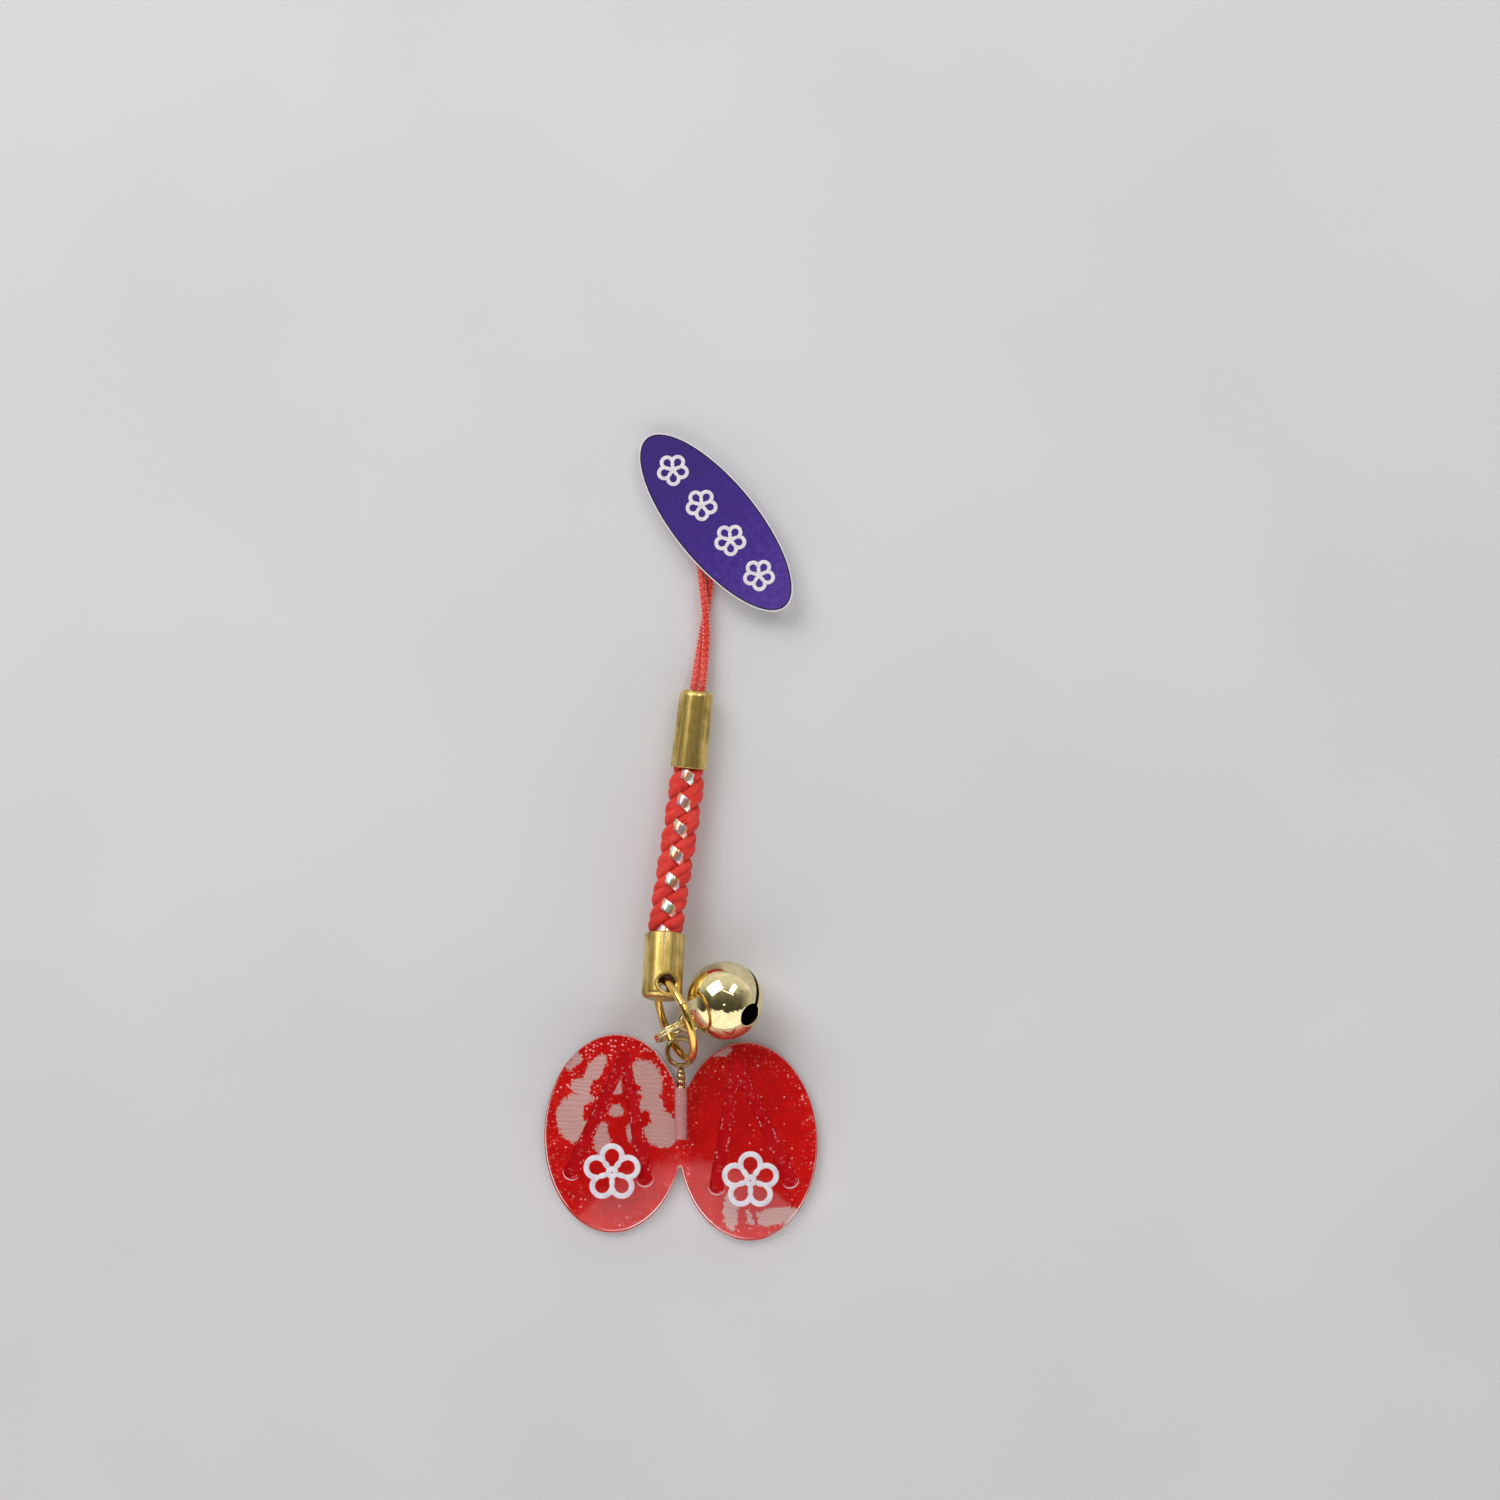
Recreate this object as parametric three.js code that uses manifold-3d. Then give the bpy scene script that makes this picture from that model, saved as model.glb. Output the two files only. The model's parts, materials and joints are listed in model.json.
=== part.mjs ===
// Good-luck charm: a pair of joined acrylic sandal soles and a round bell, hung on split rings
// from a short braided strap with a cord loop, lying flat on a table.
// Millimetres and degrees. X runs across the charm, Y up along the strap, Z up from the table.
import * as THREE from 'three';
import { mergeVertices } from 'three/addons/utils/BufferGeometryUtils.js';
import Module from 'manifold-3d';

const wasm = await Module();
wasm.setup();

// Joined soles: two ovals side by side, one set a little lower, in three layers
const SOLE_WIDTH = 15.1;
const SOLE_LENGTH = 21.4;
const SOLE_SPACING = 14.45;
const SOLE_STAGGER = 0.87;
const SOLE_TOE_IN = 2.3;
const TOE_NOTCH_DEPTH = 5.2;
const HEEL_NOTCH_DEPTH = 7.3;
const WAIST_ROUNDING = 0.35;
const BACK_THICKNESS = 1.0;
const FABRIC_THICKNESS = 0.3;
const FRONT_THICKNESS = 3.2;
const GLUE_FILM = 0.05;

// Sandal straps engraved into each sole's front, as a V from the toe to both sides
const STRAP_TOE_WIDTH = 1.25;
const STRAP_END_WIDTH = 1.65;
const STRAP_DEPTH = 0.4;
const STRAP_TOE = { side: -0.8, along: 8.4 };
const STRAP_OUTER_END = { side: 4.4, along: -4.2 };
const STRAP_INNER_END = { side: -3.5, along: -4.6 };
const STRAP_BOW = 0.15;

// Screw eye in the notch between the soles
const EYE_RADIUS = 1.49;
const EYE_WIRE = 0.55;
const SHANK_DIAMETER = 1.05;
const SHANK_SHOWN = 1.95;
const SHANK_HELD = 5.6;
const SHANK_POINT = 0.9;
const DRILL_CLEARANCE = 0.25;
const EYE_PLACE = { across: 0, along: -9.55 };

// Main split ring, through the cap's cross hole and the screw eye
const RING_RADIUS = 4.4;
const RING_WIRE = 0.85;
const RING_SWING = 25.4;
const RING_CUT = 0.12;
const RING_CUT_ANGLE = 30;
const EYE_SEAT = { across: -0.23, along: 0.1 };

// Bell's own split ring, standing on the table round the main ring's low side
const BELL_RING_RADIUS = 2.0;
const BELL_RING_WIRE = 0.72;
const BELL_RING_CUT_ANGLE = 90;
const BELL_RING_HEADING = 29;
const BELL_RING_LEAN = -12;
const BELL_RING_STATION = 168.7;
const LINK_GAP = 0.25;

// Round bell of two pressed halves with a wire loop, a mouth and a loose pellet
const BELL_RADIUS = 4.25;
const BELL_WALL = 0.3;
const BELL_SEAM = 0.08;
const BELL_HEADING = 31.2;
const MOUTH_TURN = 36.5;
const MOUTH_SPREAD = 54;
const MOUTH_HOLE = 2.6;
const MOUTH_SLIT = 0.55;
const LOOP_RADIUS = 0.95;
const LOOP_WIRE = 0.6;
const LOOP_HEIGHT = 1.58;
const LOOP_LEG_INSIDE = 0.55;
const LOOP_LEG_CLEARANCE = 0.1;
const PELLET_RADIUS = 1.35;
const PELLET_GAP = 0.25;

// Lower cap: a drawn brass cup with a cross hole near its closed end, propped up by the ring
const CAP_DIAMETER = 4.4;
const CAP_WALL = 0.35;
const CAP_LENGTH = 7.1;
const CAP_CORNER = 0.7;
const CAP_HOLE = 2.1;
const CAP_HOLE_SETBACK = 1.45;
const CAP_HOLE_TURN = 15;
const CAP_HEADING = 3.1;
const CAP_RISE = 13;

// Braided strap between the cap and the ferrule
const BRAID_DIAMETER = 3.8;
const BRAID_LENGTH = 18.2;
const BRAID_HEADING = 7.9;
const BRAID_HELD = 3.2;
const BRAID_CLEARANCE = 0.15;
const BRAID_SHOULDER_GAP = 0.3;
const BRAID_CAP_STRETCH = 2.6;
const BRAID_FERRULE_STRETCH = 7.2;

// Upper ferrule: a tapered brass cup with a hole for the cord loop in its closed end
const FERRULE_MOUTH_DIAMETER = 4.0;
const FERRULE_END_DIAMETER = 3.6;
const FERRULE_WALL = 0.3;
const FERRULE_LENGTH = 8.5;
const FERRULE_CORNER = 0.6;
const FERRULE_HOLE = 2.2;
const FERRULE_HEADING = 6.2;

// Cord loop, its knot inside the ferrule, and the oval paper label stuck over its end
const LOOP_CORD_DIAMETER = 0.85;
const KNOT_DIAMETER = 2.5;
const KNOT_LENGTH = 2.0;
const KNOT_GAP = 0.3;
const LABEL_LENGTH = 24.0;
const LABEL_WIDTH = 9.2;
const LABEL_THICKNESS = 0.3;
const LABEL_CENTRE = { across: 3.79, along: 48.0 };
const LABEL_TURN = 129.1;
const LABEL_TILT = 3.5;
const LABEL_HEIGHT = 1.62;

// How finely round forms are faceted
const TURNED_SIDES = 36;
const WIRE_SIDES = 12;
const CORD_SIDES = 8;
const BALL_SIDES = 16;
const BALL_RINGS = 10;
const OVAL_STEPS = 26;
const CORNER_STEPS = 5;
const DOME_STEPS = 10;
const STRAP_STEPS = 12;
const STRAP_END_STEPS = 8;
const EYE_STEPS = 32;
const RING_STEPS = 44;
const BELL_RING_STEPS = 30;
const LOOP_CROWN_STEPS = 6;
const LOOP_STEPS = 26;
const BRAID_STEPS = 16;
const CORD_STEPS = 64;

// How far cutters run past the faces that they cut, and how close points are welded
const CUT_MARGIN = 0.5;
const WELD = 1e-4;

const radians = THREE.MathUtils.degToRad;
const UP = new THREE.Vector3(0, 0, 1);

function vector(x, y, z) {
  return new THREE.Vector3(x, y, z);
}

// A point at the given distances along two directions from a start.
function reach(start, along, distance, across = UP, side = 0) {
  return start.clone().addScaledVector(along, distance).addScaledVector(across, side);
}

function headingVector(degrees) {
  return vector(Math.cos(radians(degrees)), Math.sin(radians(degrees)), 0);
}

// A closed solid for joining and cutting, from a closed three.js geometry.
function solidOf(geometry) {
  const bare = geometry.clone();
  bare.deleteAttribute('normal');
  bare.deleteAttribute('uv');
  const welded = mergeVertices(bare, WELD);
  return new wasm.Manifold(new wasm.Mesh({
    numProp: 3,
    vertProperties: new Float32Array(welded.attributes.position.array),
    triVerts: new Uint32Array(welded.index.array),
  }));
}

function geometryOf(solid) {
  const { vertProperties, triVerts } = solid.getMesh();
  const geometry = new THREE.BufferGeometry();
  geometry.setAttribute('position', new THREE.BufferAttribute(vertProperties, 3));
  geometry.setIndex(new THREE.BufferAttribute(triVerts, 1));
  geometry.computeVertexNormals();
  return geometry;
}

function cutAway(geometry, cutters) {
  let solid = solidOf(geometry);
  for (const cutter of cutters) {
    solid = solid.subtract(solidOf(cutter));
  }
  return geometryOf(solid);
}

function joined(first, second) {
  return geometryOf(solidOf(first).add(solidOf(second)));
}

// A round wire along a curve, with flat ends.
function wireAlong(curve, diameter, steps, sides = WIRE_SIDES) {
  const section = new THREE.Shape();
  section.absarc(0, 0, diameter / 2, 0, 2 * Math.PI);
  return new THREE.ExtrudeGeometry(section, {
    extrudePath: curve,
    steps,
    curveSegments: sides / 2,
    bevelEnabled: false,
  });
}

// The line of a split ring's wire in the XY plane, with its cut at the given angle.
class SplitRingCurve extends THREE.Curve {
  constructor(radius, cutAngle) {
    super();
    this.radius = radius;
    this.start = radians(cutAngle) + RING_CUT / radius / 2;
    this.sweep = 2 * Math.PI - RING_CUT / radius;
  }

  getPoint(t, target = new THREE.Vector3()) {
    const angle = this.start + t * this.sweep;
    return target.set(this.radius * Math.cos(angle), this.radius * Math.sin(angle), 0);
  }
}

function splitRing(radius, wire, cutAngle, steps) {
  return wireAlong(new SplitRingCurve(radius, cutAngle), wire, steps);
}

// A turned cup about Y with its closed end at the top, a rounded outer corner and an open foot.
function turnedCup({ footRadius, endRadius, wall, length, corner, hole = 0 }) {
  const side = (height) => footRadius + (endRadius - footRadius) * height / length;
  const profile = [new THREE.Vector2(hole / 2, length - wall)];
  const innerCorner = Math.max(corner - wall, wall / 2);
  for (let step = 0; step <= CORNER_STEPS; step += 1) {
    const turn = Math.PI / 2 * (1 - step / CORNER_STEPS);
    const height = length - wall - innerCorner + innerCorner * Math.sin(turn);
    const radius = side(length) - wall - innerCorner + innerCorner * Math.cos(turn);
    profile.push(new THREE.Vector2(radius, height));
  }
  profile.push(new THREE.Vector2(footRadius - wall, 0));
  profile.push(new THREE.Vector2(footRadius, 0));
  for (let step = 0; step <= CORNER_STEPS; step += 1) {
    const turn = Math.PI / 2 * step / CORNER_STEPS;
    const height = length - corner + corner * Math.sin(turn);
    const radius = side(length) - corner + corner * Math.cos(turn);
    profile.push(new THREE.Vector2(radius, height));
  }
  profile.push(new THREE.Vector2(hole / 2, length));
  if (hole > 0) {
    profile.push(profile[0].clone());
  }
  return new THREE.LatheGeometry(profile, TURNED_SIDES);
}

const charm = new THREE.Group();

function addPiece(name, geometry, look, place = {}) {
  const mesh = new THREE.Mesh(geometry, new THREE.MeshStandardMaterial(look));
  mesh.name = name;
  if (place.axes) {
    const [x, y] = place.axes;
    const z = new THREE.Vector3().crossVectors(x, y);
    mesh.quaternion.setFromRotationMatrix(new THREE.Matrix4().makeBasis(x, y, z));
  }
  if (place.at) {
    mesh.position.copy(place.at);
  }
  charm.add(mesh);
  return mesh;
}

const BRASS = { color: 0xa8964b, roughness: 0.35, metalness: 1 };
const PALE_GOLD = { color: 0xe3cf9a, roughness: 0.12, metalness: 1 };
const RING_GOLD = { color: 0xd4b25f, roughness: 0.18, metalness: 1 };
const STEEL = { color: 0xb9b6ae, roughness: 0.25, metalness: 1 };
const ACRYLIC = { color: 0xe8e4e6, roughness: 0.05, metalness: 0 };
const CREPE = { color: 0xb01218, roughness: 0.8, metalness: 0 };
const RED_YARN = { color: 0xcd2d2d, roughness: 0.7, metalness: 0 };
const ORANGE_CORD = { color: 0xe13228, roughness: 0.6, metalness: 0 };
const PURPLE_PAPER = { color: 0x402890, roughness: 0.5, metalness: 0 };

// Places, worked out link by link from the screw eye
const waistAbove = SOLE_LENGTH / 2 - TOE_NOTCH_DEPTH;
const waistBelow = SOLE_LENGTH / 2 - HEEL_NOTCH_DEPTH;
const fabricFloor = BACK_THICKNESS + GLUE_FILM;
const frontFloor = fabricFloor + FABRIC_THICKNESS + GLUE_FILM;
const frontTop = frontFloor + FRONT_THICKNESS;
const eyeCentre = vector(EYE_PLACE.across, EYE_PLACE.along, frontFloor + FRONT_THICKNESS / 2);
const waistTop = eyeCentre.y - EYE_RADIUS - EYE_WIRE / 2 - SHANK_SHOWN;
const plateCentre = vector(eyeCentre.x, waistTop - waistAbove, 0);

// The cap points down the charm and rises; the cross hole leans to the right
const capAxis = headingVector(-90 - CAP_HEADING).multiplyScalar(Math.cos(radians(CAP_RISE)));
capAxis.z = Math.sin(radians(CAP_RISE));
const capTop = UP.clone().addScaledVector(capAxis, -capAxis.z).normalize();
const capSide = new THREE.Vector3().crossVectors(capTop, capAxis);
const holeAxis = reach(vector(0, 0, 0), capTop, Math.cos(radians(CAP_HOLE_TURN)),
  capSide, Math.sin(radians(CAP_HOLE_TURN)));
const holeSide = new THREE.Vector3().crossVectors(holeAxis, capAxis);

// The ring swings about the hole; its lowest wire clears the bell's ring under it
const ringReach = reach(vector(0, 0, 0), capAxis, Math.cos(radians(RING_SWING)),
  holeSide, Math.sin(radians(RING_SWING)));
const ringLean = Math.hypot(holeAxis.z, ringReach.z);
const ringLeanAngle = Math.atan2(ringReach.z, holeAxis.z);
const ringLowest = BELL_RING_WIRE + LINK_GAP + RING_WIRE / 2;
const ringHeight = ringLowest + RING_RADIUS * ringLean;
const eyeStation = ringLeanAngle
  + Math.acos((eyeCentre.z - ringHeight) / (RING_RADIUS * ringLean));
const fromRingCentre = (angle) => reach(vector(0, 0, 0), holeAxis,
  RING_RADIUS * Math.cos(angle), ringReach, RING_RADIUS * Math.sin(angle));
const ringCentre = eyeCentre.clone()
  .add(vector(EYE_SEAT.across, EYE_SEAT.along, 0))
  .sub(fromRingCentre(eyeStation));

// The ring's wire crosses the cap's two walls level with the middle of the hole
const capMidWall = (CAP_DIAMETER - CAP_WALL) / 2;
const holeOffset = Math.sqrt(RING_RADIUS ** 2 - capMidWall ** 2);
const holeCentre = reach(ringCentre, ringReach, -holeOffset);
const capEnd = reach(holeCentre, capAxis, CAP_HOLE_SETBACK);
const capMouth = reach(capEnd, capAxis, -CAP_LENGTH);

// The strap runs on up from the cap and comes down to lie on the table at the ferrule
const ferruleMouth = reach(capMouth, headingVector(90 - BRAID_HEADING), BRAID_LENGTH);
ferruleMouth.z = FERRULE_MOUTH_DIAMETER / 2;
const ferruleAxis = headingVector(90 - FERRULE_HEADING);
const ferruleEnd = reach(ferruleMouth, ferruleAxis, FERRULE_LENGTH);

// The bell's ring leans a little and holds the main ring at one end and the bell at the other
const bellRingLine = headingVector(BELL_RING_HEADING);
const bellRingUp = UP.clone().applyAxisAngle(bellRingLine, radians(BELL_RING_LEAN));
const bellRingHold = ringCentre.clone().add(fromRingCentre(radians(BELL_RING_STATION)));
const bellRingHeight = BELL_RING_RADIUS + BELL_RING_WIRE / 2;
const bellRingRoom = BELL_RING_RADIUS - (BELL_RING_WIRE + RING_WIRE) / 2 - LINK_GAP;
const bellRingDrop = bellRingHeight - bellRingHold.z;
const bellRingCentre = reach(bellRingHold, bellRingLine,
  Math.sqrt(bellRingRoom ** 2 - bellRingDrop ** 2), UP, bellRingDrop);
const loopCrown = reach(bellRingCentre, bellRingLine,
  BELL_RING_RADIUS - (BELL_RING_WIRE + LOOP_WIRE) / 2 - LINK_GAP);

// The bell lies on the table with its loop at the crown's place and its mouth turned up
const bellReach = BELL_RADIUS + LOOP_HEIGHT;
const bellLift = Math.asin((BELL_RADIUS - loopCrown.z) / bellReach);
const mouthAxis = headingVector(BELL_HEADING).multiplyScalar(Math.cos(bellLift));
mouthAxis.z = Math.sin(bellLift);
const bellCentre = reach(loopCrown, mouthAxis, bellReach);
const bellLevel = new THREE.Vector3().crossVectors(UP, mouthAxis).normalize();
const bellUpright = new THREE.Vector3().crossVectors(mouthAxis, bellLevel);
const slitLine = reach(vector(0, 0, 0), bellLevel, -Math.cos(radians(MOUTH_TURN)),
  bellUpright, Math.sin(radians(MOUTH_TURN)));

// The angle round an oval where its edge reaches a height, on its right or left side.
function ovalAngleAt(height, turn, side) {
  const across = SOLE_WIDTH / 2 * Math.sin(turn);
  const along = SOLE_LENGTH / 2 * Math.cos(turn);
  return Math.atan2(along, across) - side * Math.acos(height / Math.hypot(across, along));
}

// The outline of both soles with the waist where they join, about the waist's middle.
function solesOutline() {
  const turn = radians(SOLE_TOE_IN);
  const half = SOLE_SPACING / 2;
  const lift = SOLE_STAGGER / 2;
  const shape = new THREE.Shape();
  shape.absellipse(-half, lift, SOLE_WIDTH / 2, SOLE_LENGTH / 2,
    ovalAngleAt(waistAbove - lift, -turn, 1),
    ovalAngleAt(-waistBelow - lift, -turn, 1) + 2 * Math.PI, false, -turn);
  const rightFoot = ovalAngleAt(-waistBelow + lift, turn, -1);
  const rightToe = ovalAngleAt(waistAbove + lift, turn, -1);
  const rightOval = new THREE.EllipseCurve(half, -lift, SOLE_WIDTH / 2, SOLE_LENGTH / 2,
    rightFoot, rightToe + 2 * Math.PI, false, turn);
  const footCorner = rightOval.getPoint(0);
  shape.quadraticCurveTo(0, -waistBelow + WAIST_ROUNDING, footCorner.x, footCorner.y);
  shape.absellipse(half, -lift, SOLE_WIDTH / 2, SOLE_LENGTH / 2,
    rightFoot, rightToe + 2 * Math.PI, false, turn);
  const start = shape.curves[0].getPoint(0);
  shape.quadraticCurveTo(0, waistAbove - WAIST_ROUNDING, start.x, start.y);
  return shape;
}

function soleLayer(thickness, floor) {
  const layer = new THREE.ExtrudeGeometry(solesOutline(), {
    depth: thickness,
    curveSegments: OVAL_STEPS,
    bevelEnabled: false,
  });
  layer.translate(0, 0, floor);
  return layer;
}

// One strap as a band that widens to its round end, from the toe out to one side of a sole.
function strapBand(toe, end, bow) {
  const middle = toe.clone().add(end).multiplyScalar(0.5);
  middle.x += bow;
  const line = new THREE.QuadraticBezierCurve(toe, middle, end);
  const edge = (side) => {
    const points = [];
    for (let step = 0; step <= STRAP_STEPS; step += 1) {
      const share = step / STRAP_STEPS;
      const half = (STRAP_TOE_WIDTH + (STRAP_END_WIDTH - STRAP_TOE_WIDTH) * share ** 2) / 2;
      const tangent = line.getTangent(share);
      const point = line.getPoint(share);
      point.x -= side * tangent.y * half;
      point.y += side * tangent.x * half;
      points.push(point);
    }
    return points;
  };
  const roundEnd = (centre, heading, width) => {
    const points = [];
    for (let step = 1; step < STRAP_END_STEPS; step += 1) {
      const angle = heading - Math.PI / 2 + Math.PI * step / STRAP_END_STEPS;
      points.push(new THREE.Vector2(centre.x + width / 2 * Math.cos(angle),
        centre.y + width / 2 * Math.sin(angle)));
    }
    return points;
  };
  const endHeading = line.getTangent(1).angle();
  const toeHeading = line.getTangent(0).angle() + Math.PI;
  const outline = [...edge(-1), ...roundEnd(end, endHeading, STRAP_END_WIDTH),
    ...edge(1).reverse(), ...roundEnd(toe, toeHeading, STRAP_TOE_WIDTH)];
  const band = new THREE.ExtrudeGeometry(new THREE.Shape(outline), {
    depth: STRAP_DEPTH + CUT_MARGIN,
    bevelEnabled: false,
  });
  band.translate(0, 0, frontTop - STRAP_DEPTH);
  return band;
}

// Both straps of one sole; hand is -1 for the left sole and 1 for the right.
function soleStraps(hand) {
  const turn = hand * radians(SOLE_TOE_IN);
  const point = ({ side, along }) => new THREE.Vector2(hand * side, along)
    .rotateAround(new THREE.Vector2(0, 0), turn)
    .add(new THREE.Vector2(hand * SOLE_SPACING / 2, -hand * SOLE_STAGGER / 2));
  const toe = point(STRAP_TOE);
  return [
    strapBand(toe, point(STRAP_OUTER_END), hand * STRAP_BOW),
    strapBand(toe, point(STRAP_INNER_END), -hand * STRAP_BOW),
  ];
}

function shankHole() {
  const top = waistAbove + SHANK_SHOWN;
  const length = SHANK_SHOWN + SHANK_HELD + DRILL_CLEARANCE;
  const radius = (SHANK_DIAMETER + DRILL_CLEARANCE) / 2;
  const drill = new THREE.CylinderGeometry(radius, radius, length, TURNED_SIDES / 2);
  drill.translate(0, top - length / 2, eyeCentre.z);
  return drill;
}

function addSoles() {
  const place = { at: plateCentre };
  addPiece('back_plate', soleLayer(BACK_THICKNESS, 0), ACRYLIC, place);
  addPiece('fabric_sheet', soleLayer(FABRIC_THICKNESS, fabricFloor), CREPE, place);
  const cutters = [shankHole(), ...soleStraps(-1), ...soleStraps(1)];
  const front = cutAway(soleLayer(FRONT_THICKNESS, frontFloor), cutters);
  addPiece('front_plate', front, ACRYLIC, place);
}

function addScrewEye() {
  const ring = new THREE.TorusGeometry(EYE_RADIUS, EYE_WIRE / 2, WIRE_SIDES, EYE_STEPS);
  const shankTop = -EYE_RADIUS;
  const shankTip = shankTop - EYE_WIRE / 2 - SHANK_SHOWN - SHANK_HELD;
  const shank = new THREE.LatheGeometry([
    new THREE.Vector2(0, shankTip),
    new THREE.Vector2(SHANK_DIAMETER / 2, shankTip + SHANK_POINT),
    new THREE.Vector2(SHANK_DIAMETER / 2, shankTop - EYE_WIRE),
    new THREE.Vector2(EYE_WIRE / 2, shankTop),
    new THREE.Vector2(0, shankTop),
  ], TURNED_SIDES / 2);
  addPiece('screw_eye', joined(ring, shank), STEEL, { at: eyeCentre });
}

function addRings() {
  addPiece('main_ring', splitRing(RING_RADIUS, RING_WIRE, RING_CUT_ANGLE, RING_STEPS), RING_GOLD,
    { at: ringCentre, axes: [holeAxis, ringReach] });
  const bellRing = splitRing(BELL_RING_RADIUS, BELL_RING_WIRE, BELL_RING_CUT_ANGLE, BELL_RING_STEPS);
  addPiece('bell_ring', bellRing, PALE_GOLD, { at: bellRingCentre, axes: [bellRingLine, bellRingUp] });
}

// Half of the bell's hollow ball, a dome about Y that stops just short of the seam.
function bellHalf() {
  const arc = (radius) => {
    const points = [];
    const first = Math.asin(BELL_SEAM / 2 / radius);
    for (let step = 0; step <= DOME_STEPS; step += 1) {
      const turn = first + (Math.PI / 2 - first) * step / DOME_STEPS;
      const out = step === DOME_STEPS ? 0 : radius * Math.cos(turn);
      points.push(new THREE.Vector2(out, radius * Math.sin(turn)));
    }
    return points;
  };
  const profile = [...arc(BELL_RADIUS - BELL_WALL).reverse(), ...arc(BELL_RADIUS)];
  return new THREE.LatheGeometry(profile, TURNED_SIDES);
}

// The mouth: a narrow slit across the foot that ends in two round holes.
function mouthCutters() {
  const spread = radians(MOUTH_SPREAD);
  const floor = BELL_RADIUS * Math.cos(spread) - BELL_WALL - CUT_MARGIN;
  const height = BELL_RADIUS + CUT_MARGIN - floor;
  const slit = new THREE.BoxGeometry(2 * BELL_RADIUS * Math.sin(spread), height, MOUTH_SLIT);
  slit.translate(0, floor + height / 2, 0);
  const holes = [-1, 1].map((side) => {
    const hole = new THREE.CylinderGeometry(MOUTH_HOLE / 2, MOUTH_HOLE / 2,
      BELL_WALL + 2 * CUT_MARGIN, TURNED_SIDES / 2);
    hole.translate(0, BELL_RADIUS - BELL_WALL / 2, 0);
    return hole.rotateZ(-side * spread);
  });
  return [slit, ...holes];
}

// The loop's line in the XY plane: two legs through the bell's wall and a round crown over them.
function bellLoopCurve() {
  const foot = BELL_RADIUS - BELL_WALL - LOOP_LEG_INSIDE;
  const shoulder = bellReach - LOOP_RADIUS;
  const points = [vector(LOOP_RADIUS, foot, 0), vector(LOOP_RADIUS, (foot + shoulder) / 2, 0)];
  for (let step = 0; step <= LOOP_CROWN_STEPS; step += 1) {
    const turn = Math.PI * step / LOOP_CROWN_STEPS;
    points.push(vector(LOOP_RADIUS * Math.cos(turn), shoulder + LOOP_RADIUS * Math.sin(turn), 0));
  }
  points.push(vector(-LOOP_RADIUS, (foot + shoulder) / 2, 0), vector(-LOOP_RADIUS, foot, 0));
  return new THREE.CatmullRomCurve3(points);
}

function loopLegHoles() {
  const radius = LOOP_WIRE / 2 + LOOP_LEG_CLEARANCE;
  return [-1, 1].map((side) => {
    const hole = new THREE.CylinderGeometry(radius, radius, BELL_RADIUS, TURNED_SIDES / 3);
    hole.translate(side * LOOP_RADIUS, BELL_RADIUS, 0);
    return hole;
  });
}

function addBell() {
  const crownAxis = mouthAxis.clone().negate();
  const mouthPlace = { at: bellCentre, axes: [slitLine, mouthAxis] };
  const crownPlace = { at: bellCentre, axes: [bellLevel, crownAxis] };
  addPiece('bell_mouth_half', cutAway(bellHalf(), mouthCutters()), PALE_GOLD, mouthPlace);
  addPiece('bell_crown_half', cutAway(bellHalf(), loopLegHoles()), PALE_GOLD, crownPlace);
  addPiece('bell_loop', wireAlong(bellLoopCurve(), LOOP_WIRE, LOOP_STEPS), PALE_GOLD, crownPlace);
  const pelletDrop = BELL_RADIUS - BELL_WALL - PELLET_GAP - PELLET_RADIUS;
  addPiece('bell_pellet', new THREE.SphereGeometry(PELLET_RADIUS, BALL_SIDES, BALL_RINGS), STEEL,
    { at: reach(bellCentre, UP, -pelletDrop) });
}

function addCap() {
  const cup = turnedCup({
    footRadius: CAP_DIAMETER / 2,
    endRadius: CAP_DIAMETER / 2,
    wall: CAP_WALL,
    length: CAP_LENGTH,
    corner: CAP_CORNER,
  });
  const hole = new THREE.CylinderGeometry(CAP_HOLE / 2, CAP_HOLE / 2,
    CAP_DIAMETER + 2 * CUT_MARGIN, TURNED_SIDES / 2);
  hole.rotateX(Math.PI / 2);
  hole.translate(0, CAP_LENGTH - CAP_HOLE_SETBACK, 0);
  const across = new THREE.Vector3().crossVectors(capAxis, holeAxis);
  addPiece('lower_cap', cutAway(cup, [hole]), BRASS, { at: capMouth, axes: [across, capAxis] });
}

function addFerrule() {
  const cup = turnedCup({
    footRadius: FERRULE_MOUTH_DIAMETER / 2,
    endRadius: FERRULE_END_DIAMETER / 2,
    wall: FERRULE_WALL,
    length: FERRULE_LENGTH,
    corner: FERRULE_CORNER,
    hole: FERRULE_HOLE,
  });
  const across = new THREE.Vector3().crossVectors(ferruleAxis, UP);
  addPiece('upper_ferrule', cup, BRASS, { at: ferruleMouth, axes: [across, ferruleAxis] });
}

// The strap's line between the two cups, level with each cup's axis where it enters it.
function braidCurve() {
  return new THREE.CubicBezierCurve3(
    reach(capMouth, capAxis, -BRAID_SHOULDER_GAP),
    reach(capMouth, capAxis, -BRAID_CAP_STRETCH),
    reach(ferruleMouth, ferruleAxis, -BRAID_FERRULE_STRETCH),
    reach(ferruleMouth, ferruleAxis, -BRAID_SHOULDER_GAP),
  );
}

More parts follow.
